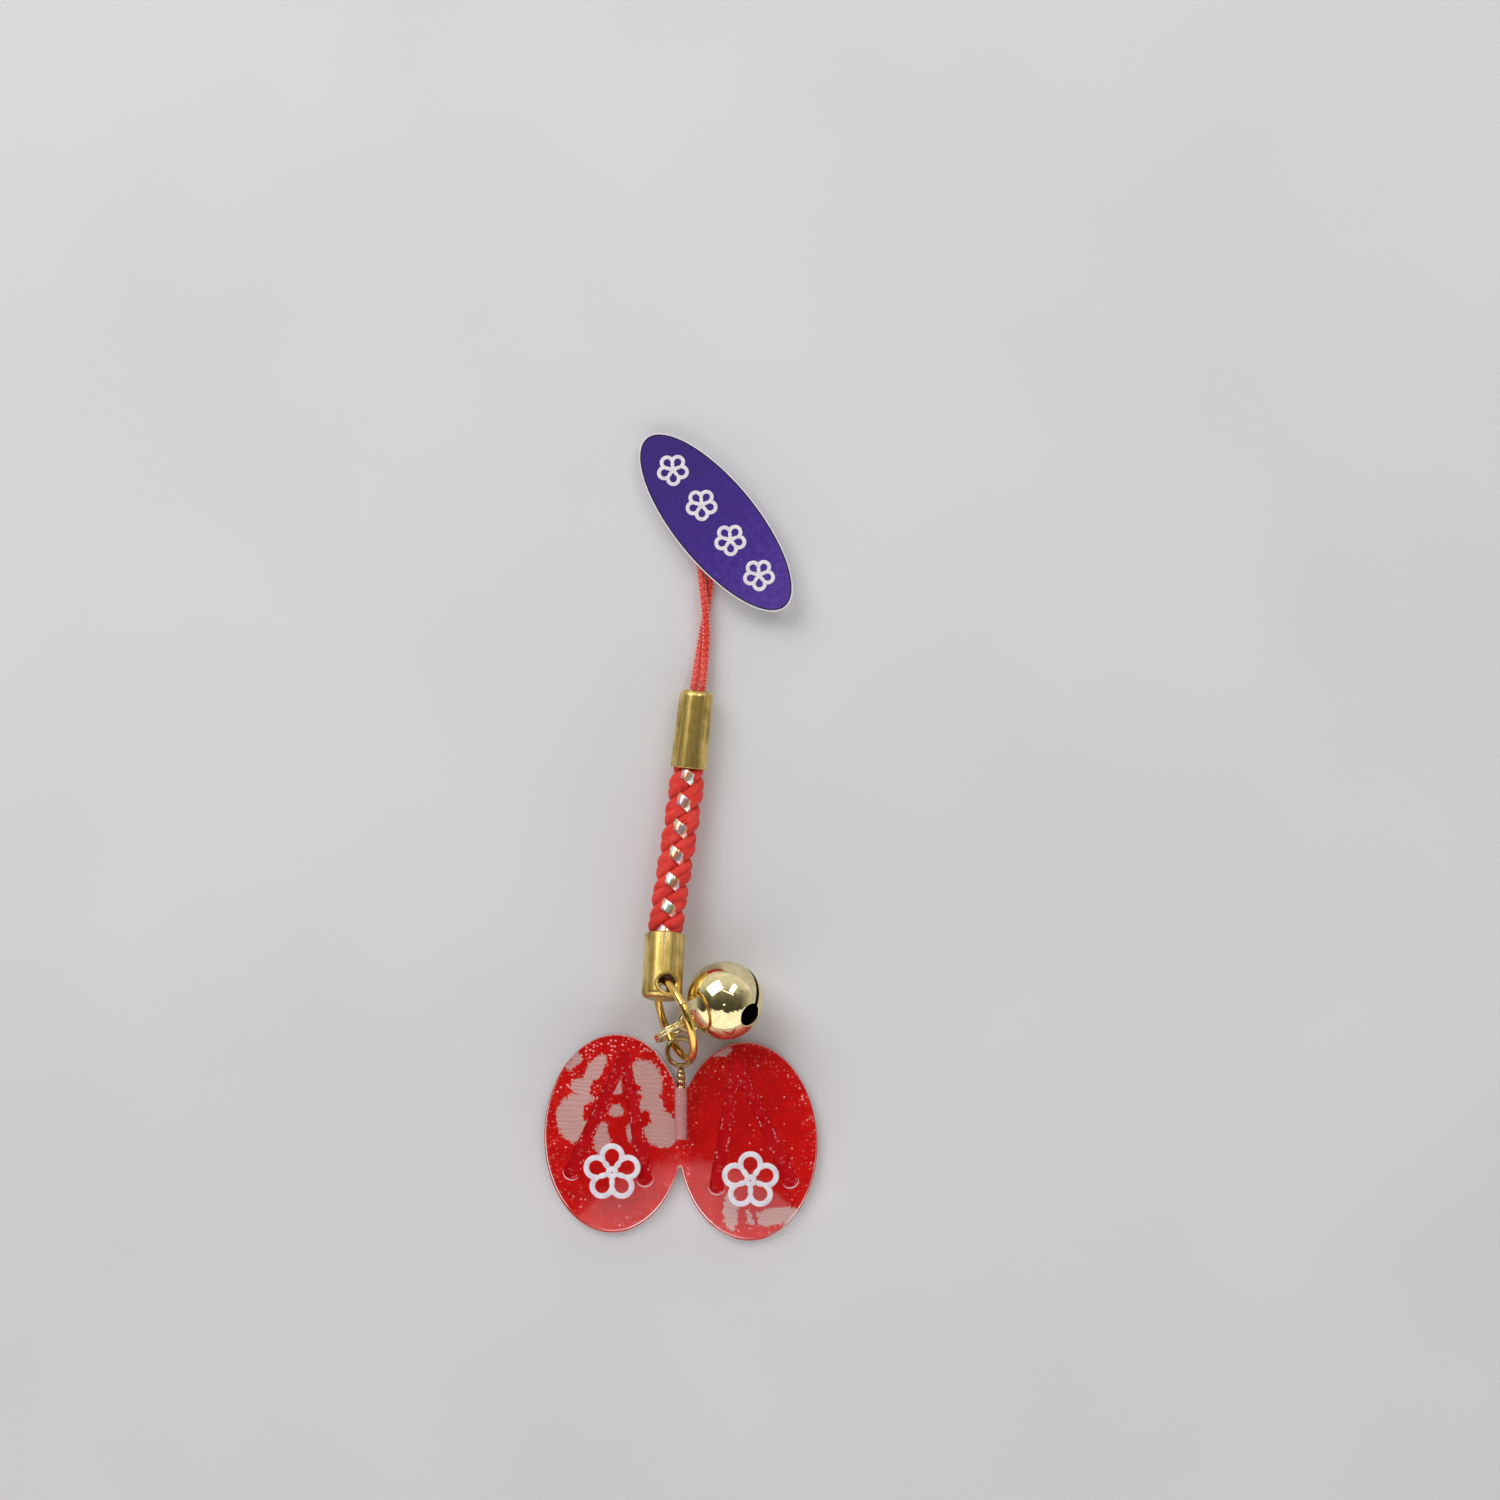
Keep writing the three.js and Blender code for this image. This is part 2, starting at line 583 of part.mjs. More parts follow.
// The braid's plain round body, with a drawn-in end held inside each cup.
function addBraid() {
  const body = wireAlong(braidCurve(), BRAID_DIAMETER, BRAID_STEPS, TURNED_SIDES / 2);
  const heldEnd = (radius, from, axis) => {
    const length = BRAID_HELD + CUT_MARGIN;
    const end = new THREE.CylinderGeometry(radius, radius, length, TURNED_SIDES / 2);
    end.translate(0, (BRAID_HELD - CUT_MARGIN) / 2, 0);
    const turn = new THREE.Quaternion().setFromUnitVectors(vector(0, 1, 0), axis);
    return end.applyQuaternion(turn).translate(from.x, from.y, from.z);
  };
  const capRadius = CAP_DIAMETER / 2 - CAP_WALL - BRAID_CLEARANCE;
  const taper = (FERRULE_MOUTH_DIAMETER - FERRULE_END_DIAMETER) / 2 * BRAID_HELD / FERRULE_LENGTH;
  const ferruleRadius = FERRULE_MOUTH_DIAMETER / 2 - FERRULE_WALL - taper - BRAID_CLEARANCE;
  const withCapEnd = joined(body, heldEnd(capRadius, capMouth, capAxis));
  const braid = joined(withCapEnd, heldEnd(ferruleRadius, ferruleMouth, ferruleAxis));
  addPiece('braid_cord', braid, RED_YARN);
}

// The loop's route on the table, leg by leg, from the ferrule round under the label and back.
const LOOP_ROUTE = [
  [1.34, 28.95, 2.0],
  [1.38, 29.9, 1.98],
  [1.58, 31.3, 1.55],
  [1.88, 33.2, 0.85],
  [2.26, 35.4, 0.5],
  [2.68, 38.0, 0.46],
  [3.01, 40.3, 0.46],
  [3.24, 42.4, 0.46],
  [3.41, 44.8, 0.46],
  [3.36, 47.2, 0.46],
  [3.01, 49.7, 0.46],
  [2.41, 51.9, 0.46],
  [1.46, 53.45, 0.46],
  [0.06, 54.0, 0.46],
  [-1.19, 53.1, 0.46],
  [-1.29, 51.5, 0.46],
  [-0.44, 49.7, 0.46],
  [0.66, 47.7, 0.46],
  [1.56, 45.5, 0.46],
  [2.11, 43.3, 0.55],
  [2.36, 41.0, 1.1],
  [2.66, 38.2, 1.5],
  [2.74, 35.6, 1.25],
  [2.61, 33.4, 1.15],
  [2.44, 31.4, 1.6],
  [2.28, 29.9, 1.98],
  [2.22, 28.95, 2.0],
];

function addLoop() {
  const route = LOOP_ROUTE.map((point) => vector(...point));
  const line = new THREE.CatmullRomCurve3(route);
  const cord = wireAlong(line, LOOP_CORD_DIAMETER, CORD_STEPS, CORD_SIDES);
  addPiece('loop_cord', cord, ORANGE_CORD);
  const knot = new THREE.SphereGeometry(KNOT_DIAMETER / 2, BALL_SIDES, BALL_RINGS);
  knot.scale(1, KNOT_LENGTH / KNOT_DIAMETER, 1);
  const setback = FERRULE_WALL + KNOT_GAP + KNOT_LENGTH / 2 + LOOP_CORD_DIAMETER / 2;
  addPiece('loop_knot', knot, ORANGE_CORD, {
    at: reach(ferruleEnd, ferruleAxis, -setback),
    axes: [new THREE.Vector3().crossVectors(ferruleAxis, UP), ferruleAxis],
  });
}

function addLabel() {
  const oval = new THREE.Shape();
  oval.absellipse(0, 0, LABEL_LENGTH / 2, LABEL_WIDTH / 2, 0, 2 * Math.PI);
  const label = new THREE.ExtrudeGeometry(oval, {
    depth: LABEL_THICKNESS,
    curveSegments: OVAL_STEPS,
    bevelEnabled: false,
  });
  label.rotateY(radians(LABEL_TILT));
  label.rotateZ(radians(LABEL_TURN));
  addPiece('tag_label', label, PURPLE_PAPER,
    { at: vector(LABEL_CENTRE.across, LABEL_CENTRE.along, LABEL_HEIGHT) });
}

addSoles();
addScrewEye();
addRings();
addBell();
addCap();
addBraid();
addFerrule();
addLoop();
addLabel();

export default charm;
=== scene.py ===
"""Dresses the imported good-luck charm: clear sandal soles over crepe cloth, a round bell, split
rings, a braided strap with brass cups, and a cord loop under an oval paper label."""

import json
import math

import bpy
import numpy as np
from bpy.props import FloatProperty, FloatVectorProperty, IntProperty, PointerProperty
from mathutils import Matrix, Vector
from mathutils.geometry import delaunay_2d_cdt


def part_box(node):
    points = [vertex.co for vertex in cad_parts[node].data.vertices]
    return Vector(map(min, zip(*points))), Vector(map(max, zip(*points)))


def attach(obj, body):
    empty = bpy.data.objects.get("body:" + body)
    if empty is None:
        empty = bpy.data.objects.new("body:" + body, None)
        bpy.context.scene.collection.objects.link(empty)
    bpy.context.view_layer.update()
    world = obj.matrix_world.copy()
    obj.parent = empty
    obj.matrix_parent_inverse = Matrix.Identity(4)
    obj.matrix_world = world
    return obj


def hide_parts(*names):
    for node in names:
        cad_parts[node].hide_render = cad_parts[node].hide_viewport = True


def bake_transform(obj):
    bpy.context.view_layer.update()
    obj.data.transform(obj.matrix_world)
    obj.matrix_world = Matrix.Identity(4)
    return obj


bl_info = {
    "name": "Good-luck charm",
    "version": (1, 0, 0),
    "blender": (4, 5, 0),
    "location": "View3D > Sidebar > Charm",
    "description": "Dresses the charm's construction with finished pieces and a plain stage",
    "category": "Object",
}

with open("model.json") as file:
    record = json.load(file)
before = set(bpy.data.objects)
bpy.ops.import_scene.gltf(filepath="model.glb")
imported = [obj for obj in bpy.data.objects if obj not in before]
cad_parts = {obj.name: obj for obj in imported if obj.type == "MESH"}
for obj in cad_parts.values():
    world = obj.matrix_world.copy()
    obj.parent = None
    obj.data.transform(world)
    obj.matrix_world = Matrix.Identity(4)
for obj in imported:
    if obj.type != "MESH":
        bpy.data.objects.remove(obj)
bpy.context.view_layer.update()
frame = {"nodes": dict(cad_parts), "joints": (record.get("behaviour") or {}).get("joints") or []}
JOINTS = {joint["name"]: joint for joint in frame["joints"]}

MM = 0.001
ACROSS, AHEAD, UP = np.eye(3)

# The photograph's scale, and the pixel that lies over the frame's origin
PHOTO_PIXELS = 1500
PIXELS_PER_MM = 9.2
ORIGIN_PIXEL = (681.0, 963.75)

# The loop's route on the table, in millimetres, from the ferrule round under the label and back
LOOP_ROUTE = (
    (1.34, 28.95, 2.0),
    (1.38, 29.9, 1.98),
    (1.58, 31.3, 1.55),
    (1.88, 33.2, 0.85),
    (2.26, 35.4, 0.5),
    (2.68, 38.0, 0.46),
    (3.01, 40.3, 0.46),
    (3.24, 42.4, 0.46),
    (3.41, 44.8, 0.46),
    (3.36, 47.2, 0.46),
    (3.01, 49.7, 0.46),
    (2.41, 51.9, 0.46),
    (1.46, 53.45, 0.46),
    (0.06, 54.0, 0.46),
    (-1.19, 53.1, 0.46),
    (-1.29, 51.5, 0.46),
    (-0.44, 49.7, 0.46),
    (0.66, 47.7, 0.46),
    (1.56, 45.5, 0.46),
    (2.11, 43.3, 0.55),
    (2.36, 41.0, 1.1),
    (2.66, 38.2, 1.5),
    (2.74, 35.6, 1.25),
    (2.61, 33.4, 1.15),
    (2.44, 31.4, 1.6),
    (2.28, 29.9, 1.98),
    (2.22, 28.95, 2.0),
)

# The crepe's print as ovals in millimetres: middle, half width, half height and turn in degrees
PALE_PRINT = (
    (-9.3, -11.4, 1.75, 0.85, 55),
    (-10.8, -13.3, 1.2, 0.9, 10),
    (-11.55, -16.85, 1.95, 2.55, 0),
    (-10.4, -14.6, 0.75, 0.9, 0),
    (-11.65, -10.6, 1.15, 0.55, 50),
    (-6.95, -13.4, 0.55, 0.9, 0),
    (-6.8, -12.4, 0.28, 0.8, 0),
    (-8.6, -19.1, 0.85, 1.85, -8),
    (-5.65, -18.5, 0.28, 1.2, 0),
    (-3.75, -12.7, 1.65, 2.3, 20),
    (-3.2, -15.6, 1.3, 1.6, 20),
    (-2.2, -18.0, 1.85, 2.05, 25),
    (4.4, -9.4, 1.05, 0.6, 15),
    (5.4, -26.9, 0.8, 2.1, 4),
    (10.7, -27.5, 2.7, 1.05, 6),
)
RED_PRINT = (
    (-9.25, -13.4, 0.65, 0.75, 0),
    (-10.0, -16.2, 0.75, 1.0, 0),
    (-4.0, -16.8, 0.7, 0.95, 0),
    (-4.75, -13.6, 0.4, 0.5, 0),
    (-7.0, -18.1, 1.0, 1.7, 0),
    (7.4, -27.9, 1.0, 1.9, 12),
    (10.9, -28.7, 0.95, 0.36, 22),
)
PALE_DOTS = (
    (-7.05, -16.0, 0.75, 0.75, 0),
    (7.5, -27.7, 0.3, 0.85, 18),
)

# Where painted glints gather under the acrylic: across, along, half width, half height and turn
GLINT_PATCHES = (
    (-7.0, -9.4, 4.8, 1.7, 4), (-12.7, -13.8, 1.3, 2.6, -22), (-1.5, -12.4, 0.9, 2.6, 18),
    (-9.4, -15.6, 1.6, 3.4, -20), (13.5, -15.8, 0.45, 2.4, 10),
)

# Where each sole's straps run, in millimetres outwards from its middle line and towards its toe
STRAP_TOE = (-0.8, 8.4)
STRAP_ENDS = ((4.4, -4.2), (-3.5, -4.6))
STRAP_BOW = 0.15

# The painted motifs: name, which sole, and place outwards and towards the toe in millimetres
MOTIF_PLACES = (
    ("left_motif", -1, (0.05, -4.2)),
    ("right_motif", 1, (0.15, -4.2)),
)

# How far the outline bows into each notch between the soles
NOTCH_DIP = 0.17 * MM

# The crepe's crinkles, in millimetres: the mesh's steps across and along, a crinkle's width and height
CREPE_STEPS = (0.4, 0.1)
CRINKLE_WIDTH = 0.42
CRINKLE_HEIGHT = 0.02

# The lamps: name, place and size in metres, and share of the window's power
LAMPS = (
    ("window", (-0.32, 0.44, 0.46), (0.5, 0.42), 1.0),
    ("side_window", (0.3, 0.42, 0.5), (0.16, 0.34), 0.25),
    ("strip", (0.13, 0.3, 0.62), (0.42, 0.014), 0.06),
)

# The point on the table that mirrors the round lamp, in millimetres, and the lamp's width in metres
GLARE_SPOT = (1.0, -36.5, 0.0)
GLARE_WIDTH = 0.06

# The floor's half width, its drop under the charm, and the height where the photograph's scale holds
FLOOR_REACH = 3.0
FLOOR_DROP = 0.02 * MM
MEAN_HEIGHT = 2.5 * MM

# A plum blossom of width 2: its petals, their arcs, the stamens between them and the ring inside
PETALS = 5
PETAL_REACH = 0.6
PETAL_RADIUS = 0.36
PETAL_SWEEP = 2.15
STAMEN_REACH = (0.2, 0.3, 0.4, 0.5)
EYE_RADIUS = 0.13
STROKE_END = 0.72

# The knot in the ferrule, as shares of the cord's thickness and of the room that the knot has
KNOT_CORD = 0.36
KNOT_WIDTH = 0.92
KNOT_LENGTH = 0.5

# How full the braid is inside a cup, at the cup's mouth and further out
BRAID_FULLNESS = (0.74, 0.86, 1.0)
BRAID_SWELL = 0.9 * MM

# A strap's section: shares of its half width, and of its depth below the top face
STRAP_SECTION = (
    (-1.0, 0.3),
    (-1.0, -0.35),
    (-0.86, -0.8),
    (-0.6, -1.0),
    (0.6, -1.0),
    (0.86, -0.8),
    (1.0, -0.35),
    (1.0, 0.3),
)


def srgb(red, green, blue):
    """Scene-linear colour from the usual values out of 255."""
    def linear(value):
        share = value / 255
        return share / 12.92 if share <= 0.04045 else ((share + 0.055) / 1.055) ** 2.4

    return (linear(red), linear(green), linear(blue))


def length_setting(name, description, millimetres):
    return FloatProperty(name=name, description=description, default=millimetres * MM,
                         min=0.0, precision=5, unit="LENGTH")


def angle_setting(name, description, degrees):
    return FloatProperty(name=name, description=description, default=math.radians(degrees),
                         subtype="ANGLE")


def colour_setting(name, description, *values):
    return FloatVectorProperty(name=name, description=description, default=srgb(*values),
                               min=0.0, max=1.0, size=3, subtype="COLOR")


class StageSettings(bpy.types.PropertyGroup):
    """The camera, the floor and the lamps."""

    lens: FloatProperty(name="Lens", description="Focal length of the camera", default=120.0,
                        min=1.0, unit="CAMERA")
    floor: colour_setting("Floor", "Colour of the pale floor", 217, 217, 222)
    window: FloatProperty(name="Window", description="Power of the large soft lamp", default=2.3,
                          min=0.0, unit="POWER")
    glare: FloatProperty(name="Glare", description="Power of the round lamp mirrored in the soles",
                         default=0.0135, min=0.0, precision=4, unit="POWER")
    room: FloatProperty(name="Room", description="Brightness of the room round the charm",
                        default=1.78, min=0.0)


class LoopSettings(bpy.types.PropertyGroup):
    """The hanging loop's cord and its knot."""

    diameter: length_setting("Diameter", "Thickness of the loop's cord", 0.85)
    colour: colour_setting("Cord", "Colour of the loop's cord", 219, 46, 33)


class LabelSettings(bpy.types.PropertyGroup):
    """The oval paper label."""

    border: length_setting("Border", "Width of the white edge", 0.12)
    outline: length_setting("Outline", "Width of the dark line inside the edge", 0.15)
    ink: colour_setting("Ink", "Printed ground of the label", 62, 36, 134)
    paper: colour_setting("Paper", "Bare paper of the edge and the ornament", 232, 228, 236)
    ornament: length_setting("Ornament", "Width of one printed blossom", 3.3)
    ornaments: IntProperty(name="Ornaments", description="Blossoms in the row", default=4, min=1)
    ornament_step: length_setting("Step", "Distance between the blossoms", 4.95)
    stroke: length_setting("Stroke", "Width of a blossom's printed lines", 0.42)
    relief: length_setting("Relief", "Thickness of the printed lines", 0.03)


class CupSettings(bpy.types.PropertyGroup):
    """The two brass cups on the strap's ends."""

    ferrule_wall: length_setting("Ferrule wall", "Wall of the upper ferrule", 0.3)
    ferrule_end: length_setting("Ferrule end", "Width of the ferrule's closed end", 3.6)
    ferrule_mouth: length_setting("Ferrule mouth", "Width of the ferrule's open end", 4.0)
    ferrule_hole: length_setting("Ferrule hole", "Hole for the cord loop", 2.2)
    cap_wall: length_setting("Cap wall", "Wall of the lower cap", 0.35)
    cap_width: length_setting("Cap width", "Width of the lower cap", 4.4)
    cap_hole: length_setting("Cap hole", "Cross hole for the main ring", 2.1)
    corner: length_setting("Corner", "Rounding of the closed ends", 0.65)
    lip: length_setting("Lip", "Half thickness of the rolled edge round the cross hole", 0.2)
    lip_seat: length_setting("Lip seat", "Distance of the rolled edge from the hole's wall", 0.1)
    brass: colour_setting("Brass", "Satin brass of the cups", 212, 181, 100)


class BraidSettings(bpy.types.PropertyGroup):
    """The round braid of red yarn and shining tape."""

    turn: length_setting("Turn", "Length in which a strand goes once round", 5.87)
    yarn: length_setting("Yarn", "Thickness of one red cord", 1.5)
    tape: length_setting("Tape", "Width of the shining tape", 1.15)
    red: colour_setting("Yarn", "Colour of the red yarn", 220, 42, 33)
    yarn_low: length_setting("Yarn low", "Yarn's distance from the middle where it dips", 0.76)
    yarn_high: length_setting("Yarn high", "Yarn's distance from the middle where it rises", 1.14)
    tape_low: length_setting("Tape low", "Tape's distance from the middle where it dips", 0.6)
    tape_high: length_setting("Tape high", "Tape's distance from the middle where it rises", 1.68)
    held: length_setting("Held", "Length of braid inside each cup", 1.6)
    cap_stretch: length_setting("Cap stretch", "Straight run out of the lower cap", 2.6)
    ferrule_stretch: length_setting("Ferrule stretch", "Straight run out of the ferrule", 7.2)


class MetalSettings(bpy.types.PropertyGroup):
    """The rings, the screw eye and the bell."""

    ring: colour_setting("Ring", "Gold of the main ring", 236, 196, 104)
    bell: colour_setting("Bell", "Pale gold of the bell and its ring", 238, 222, 172)
    split: length_setting("Split", "Half width of the cut in the main ring", 0.05)
    eye_wire: length_setting("Eye wire", "Wire of the screw eye", 0.55)
    shank: length_setting("Shank", "Width of the screw eye's shank", 1.05)
    thread: length_setting("Thread", "Distance between the shank's threads", 0.62)
    bell_wall: length_setting("Bell wall", "Wall of the bell", 0.3)
    mouth_turn: angle_setting("Mouth turn", "How the slit leans from level", 36.5)
    mouth_spread: angle_setting("Mouth spread", "Angle from the foot to each round hole", 54)
    mouth_hole: length_setting("Mouth hole", "Width of the slit's round ends", 2.7)
    mouth_slit: length_setting("Mouth slit", "Width of the slit", 0.55)
    mouth_rim: length_setting("Mouth rim", "Half thickness of the mouth's rolled edge", 0.07)
    seam: length_setting("Seam", "Half of the hairline between the bell's halves", 0.008)
    loop_radius: length_setting("Loop radius", "Half width of the bell's wire loop", 0.95)
    loop_wire: length_setting("Loop wire", "Wire of the bell's loop", 0.6)


class SoleSettings(bpy.types.PropertyGroup):
    """The joined acrylic soles with their straps and the cloth inside."""

    width: length_setting("Width", "Width of one sole", 15.1)
    length: length_setting("Length", "Length of one sole", 21.4)
    spacing: length_setting("Spacing", "Distance between the soles' middles", 14.45)
    stagger: length_setting("Stagger", "How much lower the right sole sits", 0.87)
    toe_in: angle_setting("Toe-in", "Lean of each sole towards the other", 2.3)
    toe_notch: length_setting("Toe notch", "Depth of the notch between the toes", 5.2)
    heel_notch: length_setting("Heel notch", "Depth of the notch between the heels", 7.3)
    edge: length_setting("Edge", "Bevel round the acrylic", 0.1)
    strap_toe: length_setting("Strap toe", "Width of an engraved strap at the toe", 1.25)
    strap_end: length_setting("Strap end", "Width of an engraved strap at its end", 1.65)
    strap_depth: length_setting("Strap depth", "Depth of an engraved strap", 0.4)
    drill: length_setting("Drill", "Width of the hole for the screw eye", 1.32)
    # The pale arc round each strap's end is a painted highlight.
    painted_end_highlight: length_setting("Painted_highlight", "Half thickness of the burr round a strap's end", 0.06)
    motif: length_setting("Motif", "Width of the painted blossom on each sole", 6.0)
    stroke: length_setting("Stroke", "Width of the blossom's painted lines", 0.62)
    relief: length_setting("Relief", "Thickness of the painted lines", 0.14)
    red: colour_setting("Crepe", "Red of the crepe cloth", 193, 4, 6)
    pale: colour_setting("Print", "Pale print on the crepe cloth", 189, 150, 146)
    crimson: colour_setting("Strap", "Tint of the engraved straps", 190, 5, 16)
    paint: colour_setting("Paint", "White paint of the motif", 232, 228, 238)


SETTINGS = {
    "charm_stage": StageSettings,
    "charm_loop": LoopSettings,
    "charm_label": LabelSettings,
    "charm_cups": CupSettings,
    "charm_braid": BraidSettings,
    "charm_metal": MetalSettings,
    "charm_soles": SoleSettings,
}


# Places read from the frame

def unit(vector):
    return vector / np.linalg.norm(vector)


def units(vectors):
    """Vectors made one long, row by row."""
    return vectors / np.linalg.norm(vectors, axis=1)[:, None]


def node_points(node):
    """Corner points of a CAD node at rest."""
    mesh = frame["nodes"][node].data
    points = np.empty(len(mesh.vertices) * 3)
    mesh.vertices.foreach_get("co", points)
    return points.reshape(-1, 3)


def node_axes(node):
    """Middle of a CAD node, its own three axes from longest to shortest, and its size on each."""
    points = node_points(node)
    axes = np.linalg.eigh(np.cov(points.T))[1].T[::-1]
    along = points @ axes.T
    low, high = along.min(axis=0), along.max(axis=0)
    return (low + high) / 2 @ axes, axes, high - low


def cup_line(node, towards):
    """Middle of a cup's open mouth, the direction to its closed end, and its length."""
    middle, axes, size = node_axes(node)
    axis = axes[0] if axes[0] @ towards > 0 else -axes[0]
    return middle - axis * size[0] / 2, axis, size[0]


def node_box(node):
    low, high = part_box(node)
    return np.array(low), np.array(high)


def bell_axes():
    """The bell's middle, its axis through the mouth, a level line and one square to both."""
    joint = JOINTS["bell_twist"]
    axis = unit(np.array(joint["axis"], dtype=float))
    level = unit(np.cross(UP, axis))
    return np.array(joint["pos_m"], dtype=float), axis, level, np.cross(axis, level)


# Meshes

def full_turn(steps):
    """Evenly spread angles of one whole turn."""
    return np.linspace(0, math.tau, steps, endpoint=False)


def circle(turns, first, second):
    """Points at some angles on the unit circle of two directions."""
    return np.cos(turns)[:, None] * first + np.sin(turns)[:, None] * second


def smooth_line(points, samples):
    """Points along a rounded line through the given ones, evenly stepped between them."""
    points = np.asarray(points, dtype=float)
    ends = np.vstack((2 * points[0] - points[1], points, 2 * points[-1] - points[-2]))
    line = []
    for before, start, end, after in zip(ends, ends[1:], ends[2:], ends[3:]):
        knots = [0.0]
        for first, second in ((before, start), (start, end), (end, after)):
            knots.append(knots[-1] + np.linalg.norm(second - first) ** 0.5)
        for step in np.linspace(knots[1], knots[2], samples, endpoint=False):
            line.append(_between(knots, (before, start, end, after), step))
    line.append(points[-1])
    return np.array(line)


def _between(knots, points, place):
    """One point of a centripetal curve through four points."""
    def mix(first, second, low, high):
        return first + (second - first) * (place - low) / (high - low)

    near = mix(points[0], points[1], knots[0], knots[1])
    middle = mix(points[1], points[2], knots[1], knots[2])
    far = mix(points[2], points[3], knots[2], knots[3])
    return mix(mix(near, middle, knots[0], knots[2]), mix(middle, far, knots[1], knots[3]),
               knots[1], knots[2])


def skin(name, rows, finish, closed=False, smooth_angle=35):
    """A mesh over rows of points, each row a loop round the piece. Its ends are capped, or meet.

    The map runs along the rows in millimetres and once round each row."""
    rows = np.asarray(rows, dtype=float)
    count, sides = rows.shape[:2]
    index = np.arange(count * sides).reshape(count, sides)
    run = np.linalg.norm(np.diff(rows.mean(axis=1), axis=0), axis=1)
    edge = np.linalg.norm(np.diff(rows[:, 0], axis=0), axis=1)
    along = np.concatenate(([0.0], np.cumsum(np.maximum(run, edge)))) / MM
    faces = []
    places = []
    for row in range(count if closed else count - 1):
        following = (row + 1) % count
        reach = along[row] + 1.0 if following == 0 else along[following]
        for side in range(sides):
            beside = (side + 1) % sides
            faces.append((index[row, side], index[row, beside],
                          index[following, beside], index[following, side]))
            left, right = side / sides, (side + 1) / sides
            places += [(along[row], left), (along[row], right), (reach, right), (reach, left)]
    if not closed:
        for row, order in ((0, slice(None, None, -1)), (count - 1, slice(None))):
            faces.append(tuple(index[row][order]))
            places += [(along[row], 0.5)] * sides
    mesh = bpy.data.meshes.new(name)
    mesh.from_pydata(rows.reshape(-1, 3).tolist(), [], [tuple(map(int, face)) for face in faces])
    layer = mesh.uv_layers.new(name="along_and_round")
    layer.data.foreach_set("uv", np.asarray(places, dtype=np.float32).ravel())
    return piece_from(name, mesh, finish, smooth_angle)


def piece_from(name, mesh, finish, smooth_angle=35):
    """A linked object with one finish and soft shading between faces that nearly agree."""
    mesh.materials.append(finish)
    mesh.validate()
    smoothed(mesh, smooth_angle)
    piece = bpy.data.objects.new(name, mesh)
    bpy.context.scene.collection.objects.link(piece)
    return piece


def square_start(direction):
    """Up, or across where the direction itself nearly runs up."""
    return ACROSS if abs(direction @ UP) > 0.95 else UP


def carried_frames(line):
    """Two directions square to a line at each of its points, carried along without twist."""
    tangents = units(np.gradient(line, axis=0))
    guess = square_start(tangents[0])
    normals = []
    for tangent in tangents:
        guess = unit(guess - tangent * (guess @ tangent))
        normals.append(guess)
    normals = np.array(normals)
    return normals, np.cross(tangents, normals)


def tube_rows(line, radius, sides, normals=None, flatness=1.0):
    """Loops of points round a line; flatness thins the tube along its normals."""
    line = np.asarray(line, dtype=float)
    carried, across = carried_frames(line)
    if normals is not None:
        tangents = np.gradient(line, axis=0)
        across = units(np.cross(tangents, normals))
        carried = units(np.cross(across, tangents))
    turns = full_turn(sides)
    radius = np.broadcast_to(radius, len(line))[:, None, None]
    ring = (flatness * np.cos(turns)[None, :, None] * carried[:, None, :]
            + np.sin(turns)[None, :, None] * across[:, None, :])
    return line[:, None, :] + radius * ring


def turned_rows(profile, origin, axis, sides):
    """Loops of a turned piece: profile points are (radius, height along the axis)."""
    side = unit(np.cross(axis, square_start(axis)))
    ring = circle(full_turn(sides), side, np.cross(axis, side))
    return [origin + height * axis + radius * ring for radius, height in profile]


def rounded_corner(radius_in, height_in, corner, steps, outward):
    """A quarter turn of a profile: from the side over to the end, or back again."""
    turns = np.linspace(0, math.pi / 2, steps)
    if not outward:
        turns = turns[::-1]
    return [(radius_in + corner * math.cos(turn), height_in + corner * math.sin(turn))
            for turn in turns]


def smoothed(mesh, smooth_angle):
    """Soft shading between faces that nearly agree."""
    mesh.shade_smooth()
    mesh.set_sharp_from_angle(angle=math.radians(smooth_angle))


def carve(piece, cutters):
    """Cuts the cutters out of a piece; the cut faces keep the cutters' finish."""
    for cutter in cutters:
        cut = piece.modifiers.new("cut", "BOOLEAN")
        cut.object = cutter
        cut.operation = "DIFFERENCE"
        cut.solver = "EXACT"
        cut.material_mode = "TRANSFER"
    depsgraph = bpy.context.evaluated_depsgraph_get()
    mesh = bpy.data.meshes.new_from_object(piece.evaluated_get(depsgraph))
    least_faces = len(piece.data.polygons) // 2
    if len(mesh.polygons) < least_faces:
        raise RuntimeError(f"{piece.name} lost its faces in a cut")
    piece.modifiers.clear()
    piece.data = mesh
    smoothed(mesh, smooth_angle=30)
    for cutter in cutters:
        bpy.data.objects.remove(cutter)


def settle(piece, body, slot, *nodes):
    """A finished piece rides on its body and stands for its CAD nodes, which it hides. The slot is not
    used.
    """
    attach(piece, body)
    if nodes:
        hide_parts(*nodes)
    return piece


# Finishes

